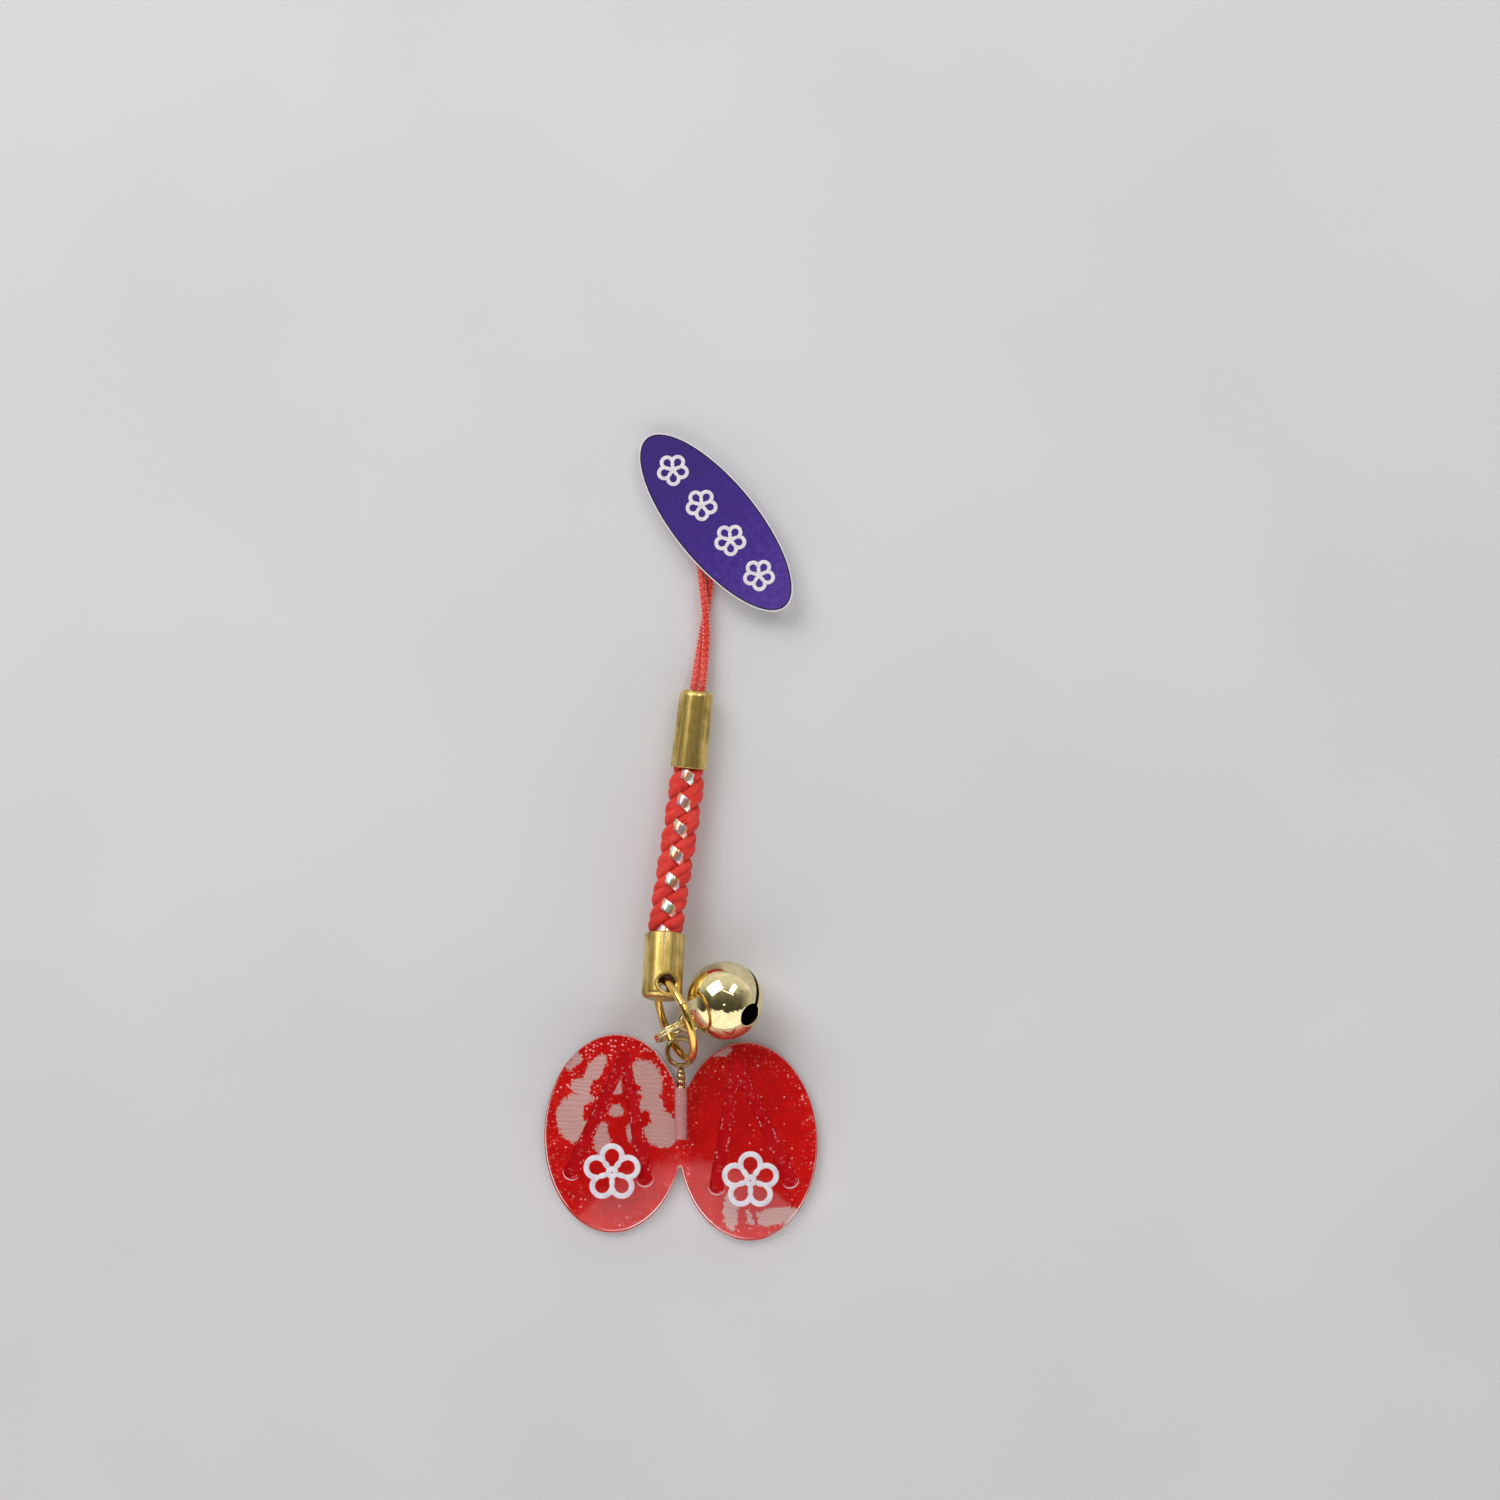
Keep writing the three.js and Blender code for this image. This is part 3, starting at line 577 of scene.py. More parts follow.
class Finish:
    """A material's node tree round one principled shader."""

    def __init__(self, name, **sockets):
        self.material = bpy.data.materials.new(name)
        self.material.use_nodes = True
        self.tree = self.material.node_tree
        self.shader = self.tree.nodes["Principled BSDF"]
        for socket, value in sockets.items():
            self.set(socket.replace("_", " ").title().replace("Ior", "IOR"), value)

    def fill(self, socket, value):
        """Gives a socket a constant, or links a node's output to it."""
        if isinstance(value, bpy.types.NodeSocket):
            self.tree.links.new(value, socket)
        elif socket.type == "RGBA":
            socket.default_value = (*value, 1.0)
        else:
            socket.default_value = value

    def set(self, name, value):
        """Fills a socket of the shader."""
        self.fill(self.shader.inputs[name], value)

    def node(self, kind, inputs=None, **settings):
        """A new node with its settings, and its inputs filled by name or place."""
        node = self.tree.nodes.new(kind)
        for name, value in settings.items():
            setattr(node, name, value)
        for name, value in (inputs or {}).items():
            self.fill(node.inputs[name], value)
        return node

    def math(self, operation, first, second=0.0):
        return self.node("ShaderNodeMath", {0: first, 1: second}, operation=operation).outputs[0]

    def weighed(self, *parts):
        """The sum of some outputs, each times its share."""
        total = 0.0
        for output, share in parts:
            total = self.math("ADD", self.math("MULTIPLY", output, share), total)
        return total

    def vector_math(self, operation, first, second=(0, 0, 0)):
        """One step with two vectors; a length or a dot product gives a number."""
        node = self.node("ShaderNodeVectorMath", {0: first, 1: second}, operation=operation)
        return node.outputs["Value" if operation in {"LENGTH", "DOT_PRODUCT"} else "Vector"]

    def parts(self, vector):
        """The X, Y and Z outputs of a vector."""
        return self.node("ShaderNodeSeparateXYZ", {0: vector}).outputs

    def place(self, scale=(1, 1, 1), source="Object"):
        """Texture coordinates in millimetres, or along the map, stretched by a scale."""
        start = self.node("ShaderNodeTexCoord").outputs[source]
        factor = 1 / MM if source == "Object" else 1.0
        scaled = self.node("ShaderNodeMapping", {"Vector": start})
        scaled.inputs["Scale"].default_value = [factor * share for share in scale]
        return scaled.outputs["Vector"]

    def noise(self, vector, scale=1.0, detail=3.0, roughness=0.6, distortion=0.0):
        inputs = {"Vector": vector, "Scale": scale, "Detail": detail, "Roughness": roughness,
                  "Distortion": distortion}
        return self.node("ShaderNodeTexNoise", inputs).outputs["Fac"]

    def ramp(self, factor, *stops):
        """Colours along a factor, as (place, colour) stops."""
        node = self.node("ShaderNodeValToRGB", {"Fac": factor})
        band = node.color_ramp
        while len(band.elements) < len(stops):
            band.elements.new(1.0)
        for element, (place, colour) in zip(band.elements, stops):
            element.position = place
            element.color = (*colour, 1.0)
        return node.outputs["Color"]

    def spread(self, factor, low, high, from_low=0.0, from_high=1.0):
        inputs = {"Value": factor, "From Min": from_low, "From Max": from_high,
                  "To Min": low, "To Max": high}
        return self.node("ShaderNodeMapRange", inputs, clamp=True).outputs["Result"]

    def mix(self, factor, first, second):
        """One colour to another by a factor; each colour is an output or a constant."""
        node = self.node("ShaderNodeMix", data_type="RGBA")
        sockets = {socket.identifier: socket for socket in (*node.inputs, *node.outputs)}
        self.fill(sockets["Factor_Float"], factor)
        self.fill(sockets["A_Color"], first)
        self.fill(sockets["B_Color"], second)
        return sockets["Result_Color"]

    def bump(self, height, strength, depth=0.02):
        """Raises the surface by a height map; depth is in millimetres."""
        inputs = {"Height": height, "Strength": strength, "Distance": depth * MM}
        self.set("Normal", self.node("ShaderNodeBump", inputs).outputs["Normal"])


class Room(Finish):
    """The world's node tree round its background."""

    def __init__(self, name, strength):
        world = bpy.data.worlds.new(name)
        bpy.context.scene.world = world
        world.use_nodes = True
        self.tree = world.node_tree
        self.shader = self.tree.nodes["Background"]
        self.set("Strength", strength)


def shade(colour, factor):
    return tuple(min(1.0, part * factor) for part in colour)


def toward(colour, other, share):
    return tuple(a + (b - a) * share for a, b in zip(colour, other))


def satin_brass(colour):
    """Drawn brass with streaks along its length and a softly varying sheen; the streaks' dark and pale
    tones are partly painted shade and highlight.
    """
    finish = Finish("satin_brass", metallic=1.0)
    streaks = finish.noise(finish.place((0.10, 34, 1), "UV"), detail=4.0, roughness=0.65)
    cloud = finish.noise(finish.place((0.5, 6, 1), "UV"), detail=2.0)
    level = finish.weighed((streaks, 0.65), (cloud, 0.35))
    # Painted shade and highlight, partly: the dark stop and the pale top stop follow the streaks that
    # raise the bump, over the brass's own uneven tone.
    finish.set("Base Color", finish.ramp(
        level,
        (0.36, shade(colour, 0.38)),
        (0.5, shade(colour, 1.04)),
        (0.64, toward(shade(colour, 1.3), (0.95, 0.9, 0.66), 0.4)),
    ))
    finish.set("Roughness", finish.spread(level, low=0.42, high=0.24, from_low=0.35, from_high=0.65))
    finish.bump(streaks, strength=0.25, depth=0.01)
    return finish.material


def turned_brass(colour):
    """The cups' closed ends, with fine turning marks round the middle."""
    finish = Finish("turned_brass", metallic=1.0)
    marks = finish.noise(finish.place((9, 0, 1), "UV"), detail=3.0)
    stain = finish.noise(finish.place(), scale=0.9, detail=3.0)
    level = finish.weighed((marks, 0.4), (stain, 0.6))
    dark, bright = shade(colour, 0.62), shade(colour, 1.08)
    finish.set("Base Color", finish.ramp(level, (0.35, dark), (0.62, bright)))
    finish.set("Roughness", finish.spread(marks, low=0.38, high=0.26))
    finish.bump(marks, strength=0.25, depth=0.01)
    return finish.material


def polished_gold(name, colour, roughness):
    """Plated wire and sheet: bright, with faint wear and fine wandering scratches."""
    finish = Finish(name, metallic=1.0)
    place = finish.place()
    wear = finish.noise(place, scale=0.9, detail=4.0, roughness=0.55)
    scratches = finish.noise(finish.place((3, 14, 3)), detail=2.0, roughness=0.5, distortion=0.8)
    finish.set("Base Color", finish.ramp(
        wear,
        (0.35, shade(colour, 0.86)),
        (0.55, colour),
        (0.75, toward(colour, (1, 0.95, 0.82), 0.3)),
    ))
    smooth, rough = roughness * 0.6, roughness * 1.9
    finish.set("Roughness", finish.spread(scratches, smooth, rough, from_low=0.3, from_high=0.75))
    finish.bump(scratches, strength=0.05, depth=0.004)
    return finish.material


def dark_inside():
    """Unpolished, shaded metal inside the bell."""
    finish = Finish("dark_inside", metallic=0.6)
    stain = finish.noise(finish.place(), scale=1.2, detail=3.0)
    dark, light = (0.012, 0.009, 0.007), (0.05, 0.036, 0.022)
    finish.set("Base Color", finish.ramp(stain, (0.3, dark), (0.7, light)))
    finish.set("Roughness", finish.spread(stain, low=0.5, high=0.75))
    return finish.material


def shaded_brass():
    """Raw brass in the walls of the cap's cross hole, painted dark brown as shade inside the hole."""
    finish = Finish("shaded_brass", metallic=0.7)
    stain = finish.noise(finish.place(), scale=1.6, detail=3.0)
    dark, light = (0.26, 0.12, 0.04), (0.46, 0.25, 0.09)
    # Painted shade: dark browns for the hole's shaded walls.
    finish.set("Base Color", finish.ramp(stain, (0.3, dark), (0.7, light)))
    finish.set("Roughness", finish.spread(stain, low=0.42, high=0.62))
    return finish.material


def dull_steel():
    """The loose pellet's grey steel, pitted by knocking about."""
    finish = Finish("dull_steel", metallic=1.0)
    pits = finish.noise(finish.place(), scale=3.5, detail=3.0)
    dark, light = (0.16, 0.16, 0.16), (0.42, 0.42, 0.41)
    finish.set("Base Color", finish.ramp(pits, (0.35, dark), (0.65, light)))
    finish.set("Roughness", finish.spread(pits, low=0.3, high=0.55))
    finish.bump(pits, strength=0.4, depth=0.03)
    return finish.material


def red_yarn(colour):
    """Soft bulky yarn: loose plies, stray fibres and a dry sheen, with painted shade in the hollows
    and painted highlight on the raised plies.
    """
    finish = Finish("red_yarn", sheen_weight=0.15, sheen_roughness=0.5)
    plies = finish.noise(finish.place((0.5, 5, 1), "UV"), detail=2.0, roughness=0.5, distortion=0.6)
    fibre = finish.noise(finish.place((3, 22, 1), "UV"), detail=3.0, roughness=0.7)
    patch = finish.noise(finish.place(), scale=0.8, detail=3.0)
    level = finish.weighed((plies, 0.4), (fibre, 0.25), (patch, 0.35))
    # Painted shade and highlight: the same noise that raises the bump darkens its hollows and lightens
    # its tops, over the yarn's own uneven tone.
    finish.set("Base Color", finish.ramp(
        level,
        (0.32, shade(colour, 0.6)),
        (0.5, colour),
        (0.68, toward(colour, srgb(248, 108, 86), 0.5)),
    ))
    finish.set("Sheen Tint", toward(colour, (1, 1, 1), 0.4))
    finish.set("Roughness", finish.spread(fibre, low=0.6, high=0.88))
    finish.bump(level, strength=0.7, depth=0.12)
    return finish.material


def shining_tape(turn):
    """Iridescent film tape: silver white, warm and violet bands along each visible crossing."""
    finish = Finish("shining_tape", metallic=0.75)
    along = finish.place((2 * MM / turn, 1, 1), "UV")
    run = finish.parts(along)["X"]
    wrinkle = finish.noise(finish.place((1.4, 3, 1), "UV"), detail=2.0)
    band = finish.math("FRACT", finish.weighed((run, 1.0), (wrinkle, 0.16)))
    finish.set("Base Color", finish.ramp(
        band,
        (0.0, srgb(255, 170, 120)),
        (0.2, srgb(226, 214, 240)),
        (0.36, srgb(246, 170, 150)),
        (0.5, srgb(238, 178, 128)),
        (0.64, srgb(208, 240, 226)),
        (0.8, srgb(252, 252, 250)),
        (1.0, srgb(255, 170, 120)),
    ))
    finish.set("Roughness", finish.spread(wrinkle, low=0.1, high=0.3))
    finish.bump(wrinkle, strength=0.5, depth=0.05)
    return finish.material


def loop_braid(colour):
    """Fine tight cord: small slanted stitches whose raised crowns are painted lighter as highlight and
    hollows darker as shade, and a light dotted line at each side.
    """
    finish = Finish("loop_braid")
    stitches = finish.node("ShaderNodeTexWave", {
        "Vector": finish.place((0.85, 0.9, 1), "UV"), "Scale": 1.0, "Distortion": 0.8,
    }, bands_direction="DIAGONAL").outputs["Fac"]
    fibre = finish.noise(finish.place((4, 24, 1), "UV"), detail=2.0)
    level = finish.weighed((stitches, 0.55), (fibre, 0.45))
    # Painted shade and highlight: the stitch level that raises the bump darkens its hollows and
    # lightens its crowns.
    body = finish.ramp(
        level,
        (0.2, shade(colour, 0.8)),
        (0.5, colour),
        (0.8, toward(colour, srgb(255, 130, 110), 0.35)),
    )
    places = finish.parts(finish.place(source="UV"))
    from_foot = finish.math("ABSOLUTE", finish.math("SUBTRACT", places["Y"], 0.5))
    aside = finish.math("ABSOLUTE", finish.math("SUBTRACT", from_foot, 0.34))
    line = finish.spread(aside, low=1.0, high=0.0, from_low=0.02, from_high=0.06)
    dots = finish.math("SINE", finish.math("MULTIPLY", places["X"], 16.0))
    shown = finish.spread(dots, low=0.0, high=0.8, from_low=0.0, from_high=0.5)
    dotted = finish.math("MULTIPLY", line, shown)
    finish.set("Base Color", finish.mix(dotted, body, srgb(255, 196, 184)))
    finish.set("Roughness", finish.spread(fibre, low=0.3, high=0.55))
    finish.bump(level, strength=0.4, depth=0.03)
    return finish.material


def printed_paper(name, colour, lighter, slope=(0.0, 0.0, 0.0), start=0.0):
    """Coated paper with a mottled print that grows lighter along a slope, and faint fibres."""
    finish = Finish(name, specular_ior_level=0.3)
    place = finish.place()
    mottle = finish.noise(place, scale=1.7, detail=5.0, roughness=0.75)
    drift = finish.vector_math("DOT_PRODUCT", place, slope)
    level = finish.weighed((finish.math("ADD", drift, start), 1.0), (mottle, 0.75))
    finish.set("Base Color", finish.ramp(
        level,
        (0.2, shade(colour, 0.78)),
        (0.42, colour),
        (0.8, toward(colour, lighter, 0.6)),
    ))
    finish.set("Roughness", finish.spread(mottle, low=0.4, high=0.58))
    finish.bump(mottle, strength=0.12, depth=0.015)
    return finish.material


def clear_acrylic():
    """Clear cast sheet with a faint pink cast, polished faces and light handling marks."""
    finish = Finish("clear_acrylic", transmission_weight=1.0, ior=1.49)
    smudge = finish.noise(finish.place(), scale=0.35, detail=3.0)
    pink, clear = (0.97, 0.955, 0.96), (0.995, 0.99, 0.99)
    finish.set("Base Color", finish.ramp(smudge, (0.3, pink), (0.7, clear)))
    finish.set("Roughness", finish.spread(smudge, low=0.015, high=0.06, from_low=0.35, from_high=0.7))
    return finish.material


def bonded_face():
    """The side of a plate that is stuck to the cloth, where light passes on without a gap."""
    finish = Finish("bonded_face", transmission_weight=1.0, ior=1.0, roughness=0.0)
    smudge = finish.noise(finish.place(), scale=0.4, detail=2.0)
    pink, clear = (0.985, 0.98, 0.98), (1.0, 1.0, 1.0)
    finish.set("Base Color", finish.ramp(smudge, (0.3, pink), (0.7, clear)))
    return finish.material


def frosted(name, colour, sparkle):
    """Rough machined acrylic: a cloudy tint with painted glints, thickest along the cut's edges."""
    finish = Finish(name, specular_ior_level=0.06)
    grain = finish.noise(finish.place(), scale=5.5, detail=3.0, roughness=0.75)
    cloud = finish.noise(finish.place(), scale=0.8, detail=2.0)
    body = finish.ramp(cloud, (0.3, shade(colour, 0.84)), (0.7, toward(colour, (1, 0.5, 0.6), 0.012)))
    around = finish.parts(finish.place(source="UV"))["Y"]
    floor_middle = 3.5 / len(STRAP_SECTION)
    from_floor = finish.math("ABSOLUTE", finish.math("SUBTRACT", around, floor_middle))
    wall = finish.spread(from_floor, low=0.12, high=1.0, from_low=0.05, from_high=0.075)
    # Painted glints: bright dots on the cut's walls stand for light caught by the rough edges; sparkle
    # sets their strength.
    dots = specks(finish, finish.place((2.2, 8, 1), "UV"), scale=1.0, size=0.4, share=0.5)
    bright = finish.math("MULTIPLY", dots, finish.math("MULTIPLY", wall, sparkle))
    finish.set("Base Color", finish.mix(bright, body, srgb(255, 212, 212)))
    finish.set("Roughness", finish.spread(grain, low=0.35, high=0.6))
    finish.bump(grain, strength=0.5, depth=0.03)
    return finish.material


def white_paint(colour):
    """Thick white paint, painted lilac in the hollows of its relief as shade."""
    finish = Finish("white_paint")
    relief_and_shade = finish.noise(finish.place(), scale=0.9, detail=3.0)
    # Painted shade: low places of the relief turn lilac, high places whiter.
    finish.set("Base Color", finish.ramp(
        relief_and_shade,
        (0.3, toward(colour, srgb(190, 170, 205), 0.55)),
        (0.55, colour),
        (0.8, toward(colour, (1, 1, 1), 0.3)),
    ))
    finish.set("Roughness", finish.spread(relief_and_shade, low=0.3, high=0.5))
    finish.bump(relief_and_shade, strength=0.2, depth=0.03)
    return finish.material


def oval_distance(finish, vector, oval):
    """How far a point lies from an oval's middle, as a share of the way to its edge."""
    across, along, half_width, half_height, turn = oval
    placed = finish.node("ShaderNodeMapping", {"Vector": vector}, vector_type="TEXTURE")
    placed.inputs["Location"].default_value = (across, along, 0)
    placed.inputs["Rotation"].default_value = (0, 0, math.radians(turn))
    placed.inputs["Scale"].default_value = (half_width, half_height, 1)
    return finish.vector_math("LENGTH", placed.outputs["Vector"])


def ovals(finish, vector, shapes, inner=0.97, outer=1.05):
    """A mask that is 1 inside any of the ovals and falls to 0 between two shares of the way out."""
    nearest = oval_distance(finish, vector, shapes[0])
    for shape in shapes[1:]:
        nearest = finish.math("MINIMUM", nearest, oval_distance(finish, vector, shape))
    return finish.spread(nearest, low=1.0, high=0.0, from_low=inner, from_high=outer)


def specks(finish, vector, scale, size, share):
    """A mask of small scattered dots for painted glints: how dense they are, how large, and what share
    shows.
    """
    cells = finish.node("ShaderNodeTexVoronoi", {"Vector": vector, "Scale": scale})
    chance = finish.node("ShaderNodeSeparateColor", {0: cells.outputs["Color"]}).outputs["Red"]
    shown = finish.math("GREATER_THAN", chance, 1.0 - share)
    distance = cells.outputs["Distance"]
    inside = finish.spread(distance, low=1.0, high=0.0, from_low=size * 0.6, from_high=size)
    return finish.math("MULTIPLY", shown, inside)


def frayed(finish, vector, layers):
    """A place moved about by noise, as (how fine, how far) layers, so that edges fray."""
    for scale, reach in layers:
        noise = finish.node("ShaderNodeTexNoise", {"Vector": vector, "Scale": scale, "Detail": 3.0})
        offset = finish.vector_math("SUBTRACT", noise.outputs["Color"], (0.5, 0.5, 0.5))
        sized = finish.vector_math("MULTIPLY", offset, (reach, reach, 0))
        vector = finish.vector_math("ADD", vector, sized)
    return vector


def crepe_cloth(red, pale, rims):
    """Dyed crepe: a blossom print with furred edges and crinkles, a dye a little lighter near the
    rims, and painted glints that gather there. The print is painted darker in the crinkles' hollows as
    shade.
    """
    finish = Finish("crepe_cloth", specular_ior_level=0.05)
    flat = finish.place((1, 1, 0))
    torn = frayed(finish, flat, ((0.8, 0.8), (3.2, 1.0), (7.0, 0.5)))
    printed = finish.math("MULTIPLY", ovals(finish, torn, PALE_PRINT),
                          finish.math("SUBTRACT", 1.0, ovals(finish, torn, RED_PRINT)))
    printed = finish.math("MAXIMUM", printed, ovals(finish, torn, PALE_DOTS))
    crinkle = finish.node("ShaderNodeTexWave", {
        "Vector": flat, "Scale": 0.65, "Distortion": 9.0, "Detail": 3.0, "Detail Scale": 0.6,
    }, bands_direction="Y").outputs["Fac"]
    mottle = finish.noise(flat, scale=0.45, detail=5.0, roughness=0.7)
    thread = finish.noise(finish.place((3, 7, 0)), detail=3.0, roughness=0.7)
    level = finish.weighed((mottle, 0.55), (thread, 0.45))
    way_out = finish.math("MINIMUM", *(oval_distance(finish, flat, rim) for rim in rims))
    near_rim = finish.spread(way_out, low=0.0, high=1.0, from_low=0.66, from_high=0.96)
    # The dye grows a little lighter towards the rims.
    lightened = finish.weighed((level, 1.0), (near_rim, 0.05))
    dye = finish.ramp(
        lightened,
        (0.38, shade(red, 0.74)),
        (0.56, red),
        (0.72, toward(red, srgb(222, 74, 58), 0.5)),
    )
    # Painted shade and highlight: the pale print is darker in the crinkles' hollows and lighter on
    # their tops, mixed with the thread's own tone.
    crinkle_shade_and_thread = finish.weighed((crinkle, 0.5), (thread, 0.5))
    bare = finish.ramp(crinkle_shade_and_thread, (0.2, shade(pale, 0.9)), (0.5, pale), (0.8, shade(pale, 1.07)))
    cloth = finish.mix(printed, dye, bare)
    # Painted glints: bright specks, scattered and gathered at the rims and in the listed patches,
    # stand for light caught by the weave and the cut edges.
    scattered = specks(finish, flat, scale=2.4, size=0.3, share=0.1)
    rimmed = finish.math("MULTIPLY", near_rim, 0.26)
    patches = finish.math("MAXIMUM", rimmed, ovals(finish, flat, GLINT_PATCHES, inner=0.6, outer=1.15))
    dense = specks(finish, finish.place((0.85, 1, 0)), scale=3.0, size=0.42, share=0.5)
    gathered = finish.math("MULTIPLY", dense, patches)
    in_dye = finish.spread(printed, low=0.7, high=0.12)
    painted_glints = finish.math("MULTIPLY", finish.math("MAXIMUM", scattered, gathered), in_dye)
    glint_colour = srgb(250, 186, 178)
    finish.set("Base Color", finish.mix(painted_glints, cloth, glint_colour))
    finish.set("Roughness", finish.spread(thread, low=0.7, high=0.92))
    finish.bump(crinkle, strength=0.25, depth=0.04)
    return finish.material


# Stage

def photo_place(pixel_across, pixel_down):
    """The point on the table under a pixel of the photograph, in metres."""
    across = (pixel_across - ORIGIN_PIXEL[0]) / PIXELS_PER_MM
    along = (ORIGIN_PIXEL[1] - pixel_down) / PIXELS_PER_MM
    return np.array((across, along, 0.0)) * MM


def aimed(location, target):
    """Rotation that points a lamp or camera at a target, with the photograph's up kept up."""
    return (Vector(target) - Vector(location)).to_track_quat("-Z", "Y").to_euler()


def add_camera(stage):
    middle = photo_place(PHOTO_PIXELS / 2, PHOTO_PIXELS / 2)
    view_width = PHOTO_PIXELS / PIXELS_PER_MM * MM
    camera = bpy.data.cameras.new("camera")
    camera.lens = stage.lens
    distance = camera.lens / camera.sensor_width * view_width
    camera.clip_start = distance / 100
    camera.clip_end = distance * 100
    holder = bpy.data.objects.new("camera", camera)
    holder.location = (middle[0], middle[1], MEAN_HEIGHT + distance)
    bpy.context.scene.collection.objects.link(holder)
    bpy.context.scene.camera = holder
    return np.array(holder.location)


def add_lamp(name, location, target, size, power, shape="RECTANGLE"):
    lamp = bpy.data.lights.new(name, "AREA")
    lamp.shape = shape
    lamp.size, lamp.size_y = size
    lamp.energy = power
    holder = bpy.data.objects.new(name, lamp)
    holder.location = location
    holder.rotation_euler = aimed(location, target)
    bpy.context.scene.collection.objects.link(holder)


def floor_card(colour):
    finish = Finish("floor_card", roughness=0.75)
    cloud = finish.noise(finish.place(), scale=0.02, detail=2.0)
    dark, light = shade(colour, 0.97), shade(colour, 1.03)
    finish.set("Base Color", finish.ramp(cloud, (0.3, dark), (0.7, light)))
    return finish.material


def add_floor(stage):
    mesh = bpy.data.meshes.new("floor")
    corners = [(FLOOR_REACH * x, FLOOR_REACH * y, 0) for x, y in ((-1, -1), (1, -1), (1, 1), (-1, 1))]
    mesh.from_pydata(corners, [], [(0, 1, 2, 3)])
    floor = piece_from("floor", mesh, floor_card(stage.floor))
    floor.location.z = -FLOOR_DROP


def add_room(stage):
    """A pale room, dimmer behind the windows, with a dark mottled band straight over the table.

    The band runs where a ball would mirror it level across its middle."""
    room = Room("room", stage.room)
    direction = room.node("ShaderNodeTexCoord").outputs["Generated"]
    facing = room.vector_math("NORMALIZE", room.vector_math("ADD", direction, (0, 0, 1)))
    mottle = room.math("SUBTRACT", room.noise(facing, scale=7.0, detail=3.0), 0.5)
    places = room.parts(facing)
    ragged = room.weighed((places["Y"], 1.0), (mottle, 0.42))
    off_middle = room.math("ABSOLUTE", room.math("ADD", places["X"], 0.08))
    aside = room.spread(off_middle, low=0.0, high=0.55, from_low=0.5, from_high=0.85)
    ceiling = room.ramp(
        room.spread(ragged, low=0.0, high=1.0, from_low=-1.0, from_high=1.0),
        (0.0, (0.74, 0.73, 0.71)),
        (0.372, (0.74, 0.73, 0.71)),
        (0.384, (0.035, 0.032, 0.024)),
        (0.5, (0.06, 0.056, 0.042)),
        (0.6, (0.13, 0.125, 0.1)),
        (0.68, (0.38, 0.37, 0.34)),
        (1.0, (0.66, 0.66, 0.65)),
    )
    room.set("Color", room.mix(aside, ceiling, (0.75, 0.74, 0.7)))


class CHARM_OT_stage(bpy.types.Operator):
    """Add the camera over the table, the floor, the lamps and the room's light"""

    bl_idname = "charm.stage"
    bl_label = "Stage"

    def execute(self, context):
        stage = context.scene.charm_stage
        context.scene.view_settings.view_transform = "Standard"
        camera = add_camera(stage)
        add_floor(stage)
        add_room(stage)
        for name, place, size, share in LAMPS:
            add_lamp(name, place, (0.0, 0.0, 0.0), size, stage.window * share)
        spot = np.array(GLARE_SPOT) * MM
        mirrored = (2 * spot[0] - camera[0], 2 * spot[1] - camera[1], camera[2])
        under = (mirrored[0], mirrored[1], 0.0)
        add_lamp("glare", mirrored, under, (GLARE_WIDTH, GLARE_WIDTH), stage.glare, "ELLIPSE")
        return {"FINISHED"}


# Loop, knot and label

def loop_line():
    return smooth_line(np.array(LOOP_ROUTE) * MM, 10)


def knot_line(middle, axis, width, length):
    """The closed run of an overhand knot, drawn tight round an axis."""
    side = unit(np.cross(axis, UP))
    ahead = np.cross(side, axis)
    turns = full_turn(96)
    across = np.sin(turns) + 2 * np.sin(2 * turns)
    over = np.cos(turns) - 2 * np.cos(2 * turns)
    along = -np.sin(3 * turns)
    return (middle + (across[:, None] * side + over[:, None] * ahead) * width / 6
            + along[:, None] * axis * length / 2)


def blossom_lines():
    """A plum blossom of width 2 drawn as strokes: round petals, a ring and short stamens."""
    lines = []
    for petal in range(PETALS):
        heading = math.pi / 2 + math.tau * petal / PETALS
        middle = PETAL_REACH * np.array((math.cos(heading), math.sin(heading)))
        sweep = heading + np.linspace(-PETAL_SWEEP, PETAL_SWEEP, 22)
        lines.append(middle + PETAL_RADIUS * np.column_stack((np.cos(sweep), np.sin(sweep))))
        between = heading + math.pi / PETALS
        stamen = np.array((math.cos(between), math.sin(between)))
        lines.append(np.array([stamen * reach for reach in STAMEN_REACH]))
    ring = np.linspace(0, math.tau, 20)
    lines.append(EYE_RADIUS * np.column_stack((np.cos(ring), np.sin(ring))))
    return lines


def drawn_blossom(name, middle, across, ahead, style, width, finish):
    """A blossom of flat rounded strokes on the plane of two directions, in a setting's stroke."""
    normal = np.cross(across, ahead)
    strokes = []
    for line in blossom_lines():
        run = middle + width / 2 * (line[:, :1] * across + line[:, 1:] * ahead)
        taper = np.ones(len(run))
        taper[0] = taper[-1] = STROKE_END
        rows = tube_rows(run, style.stroke / 2 * taper, 10, normal, 2 * style.relief / style.stroke)
        strokes.append(skin(f"{name}_stroke", rows, finish))
    return joined(name, strokes)


def joined(name, pieces):
    """One object from several, keeping their finishes."""
    with bpy.context.temp_override(active_object=pieces[0], selected_editable_objects=pieces):
        bpy.ops.object.join()
    pieces[0].name = name
    pieces[0].data.name = name
    return pieces[0]


def oval_loop(middle, across, ahead, half_width, half_height, inset, sides=128):
    """Points round an oval, moved in from its edge by an even distance."""
    turns = full_turn(sides)
    edge = np.column_stack((half_width * np.cos(turns), half_height * np.sin(turns)))
    out = units(np.column_stack((half_height * np.cos(turns), half_width * np.sin(turns))))
    flat = edge - inset * out
    return middle + flat[:, :1] * across + flat[:, 1:] * ahead


def label_names(label):
    """The names of the label and of the blossoms printed on it."""
    return ["oval_label"] + [f"label_blossom_{number + 1}" for number in range(label.ornaments)]


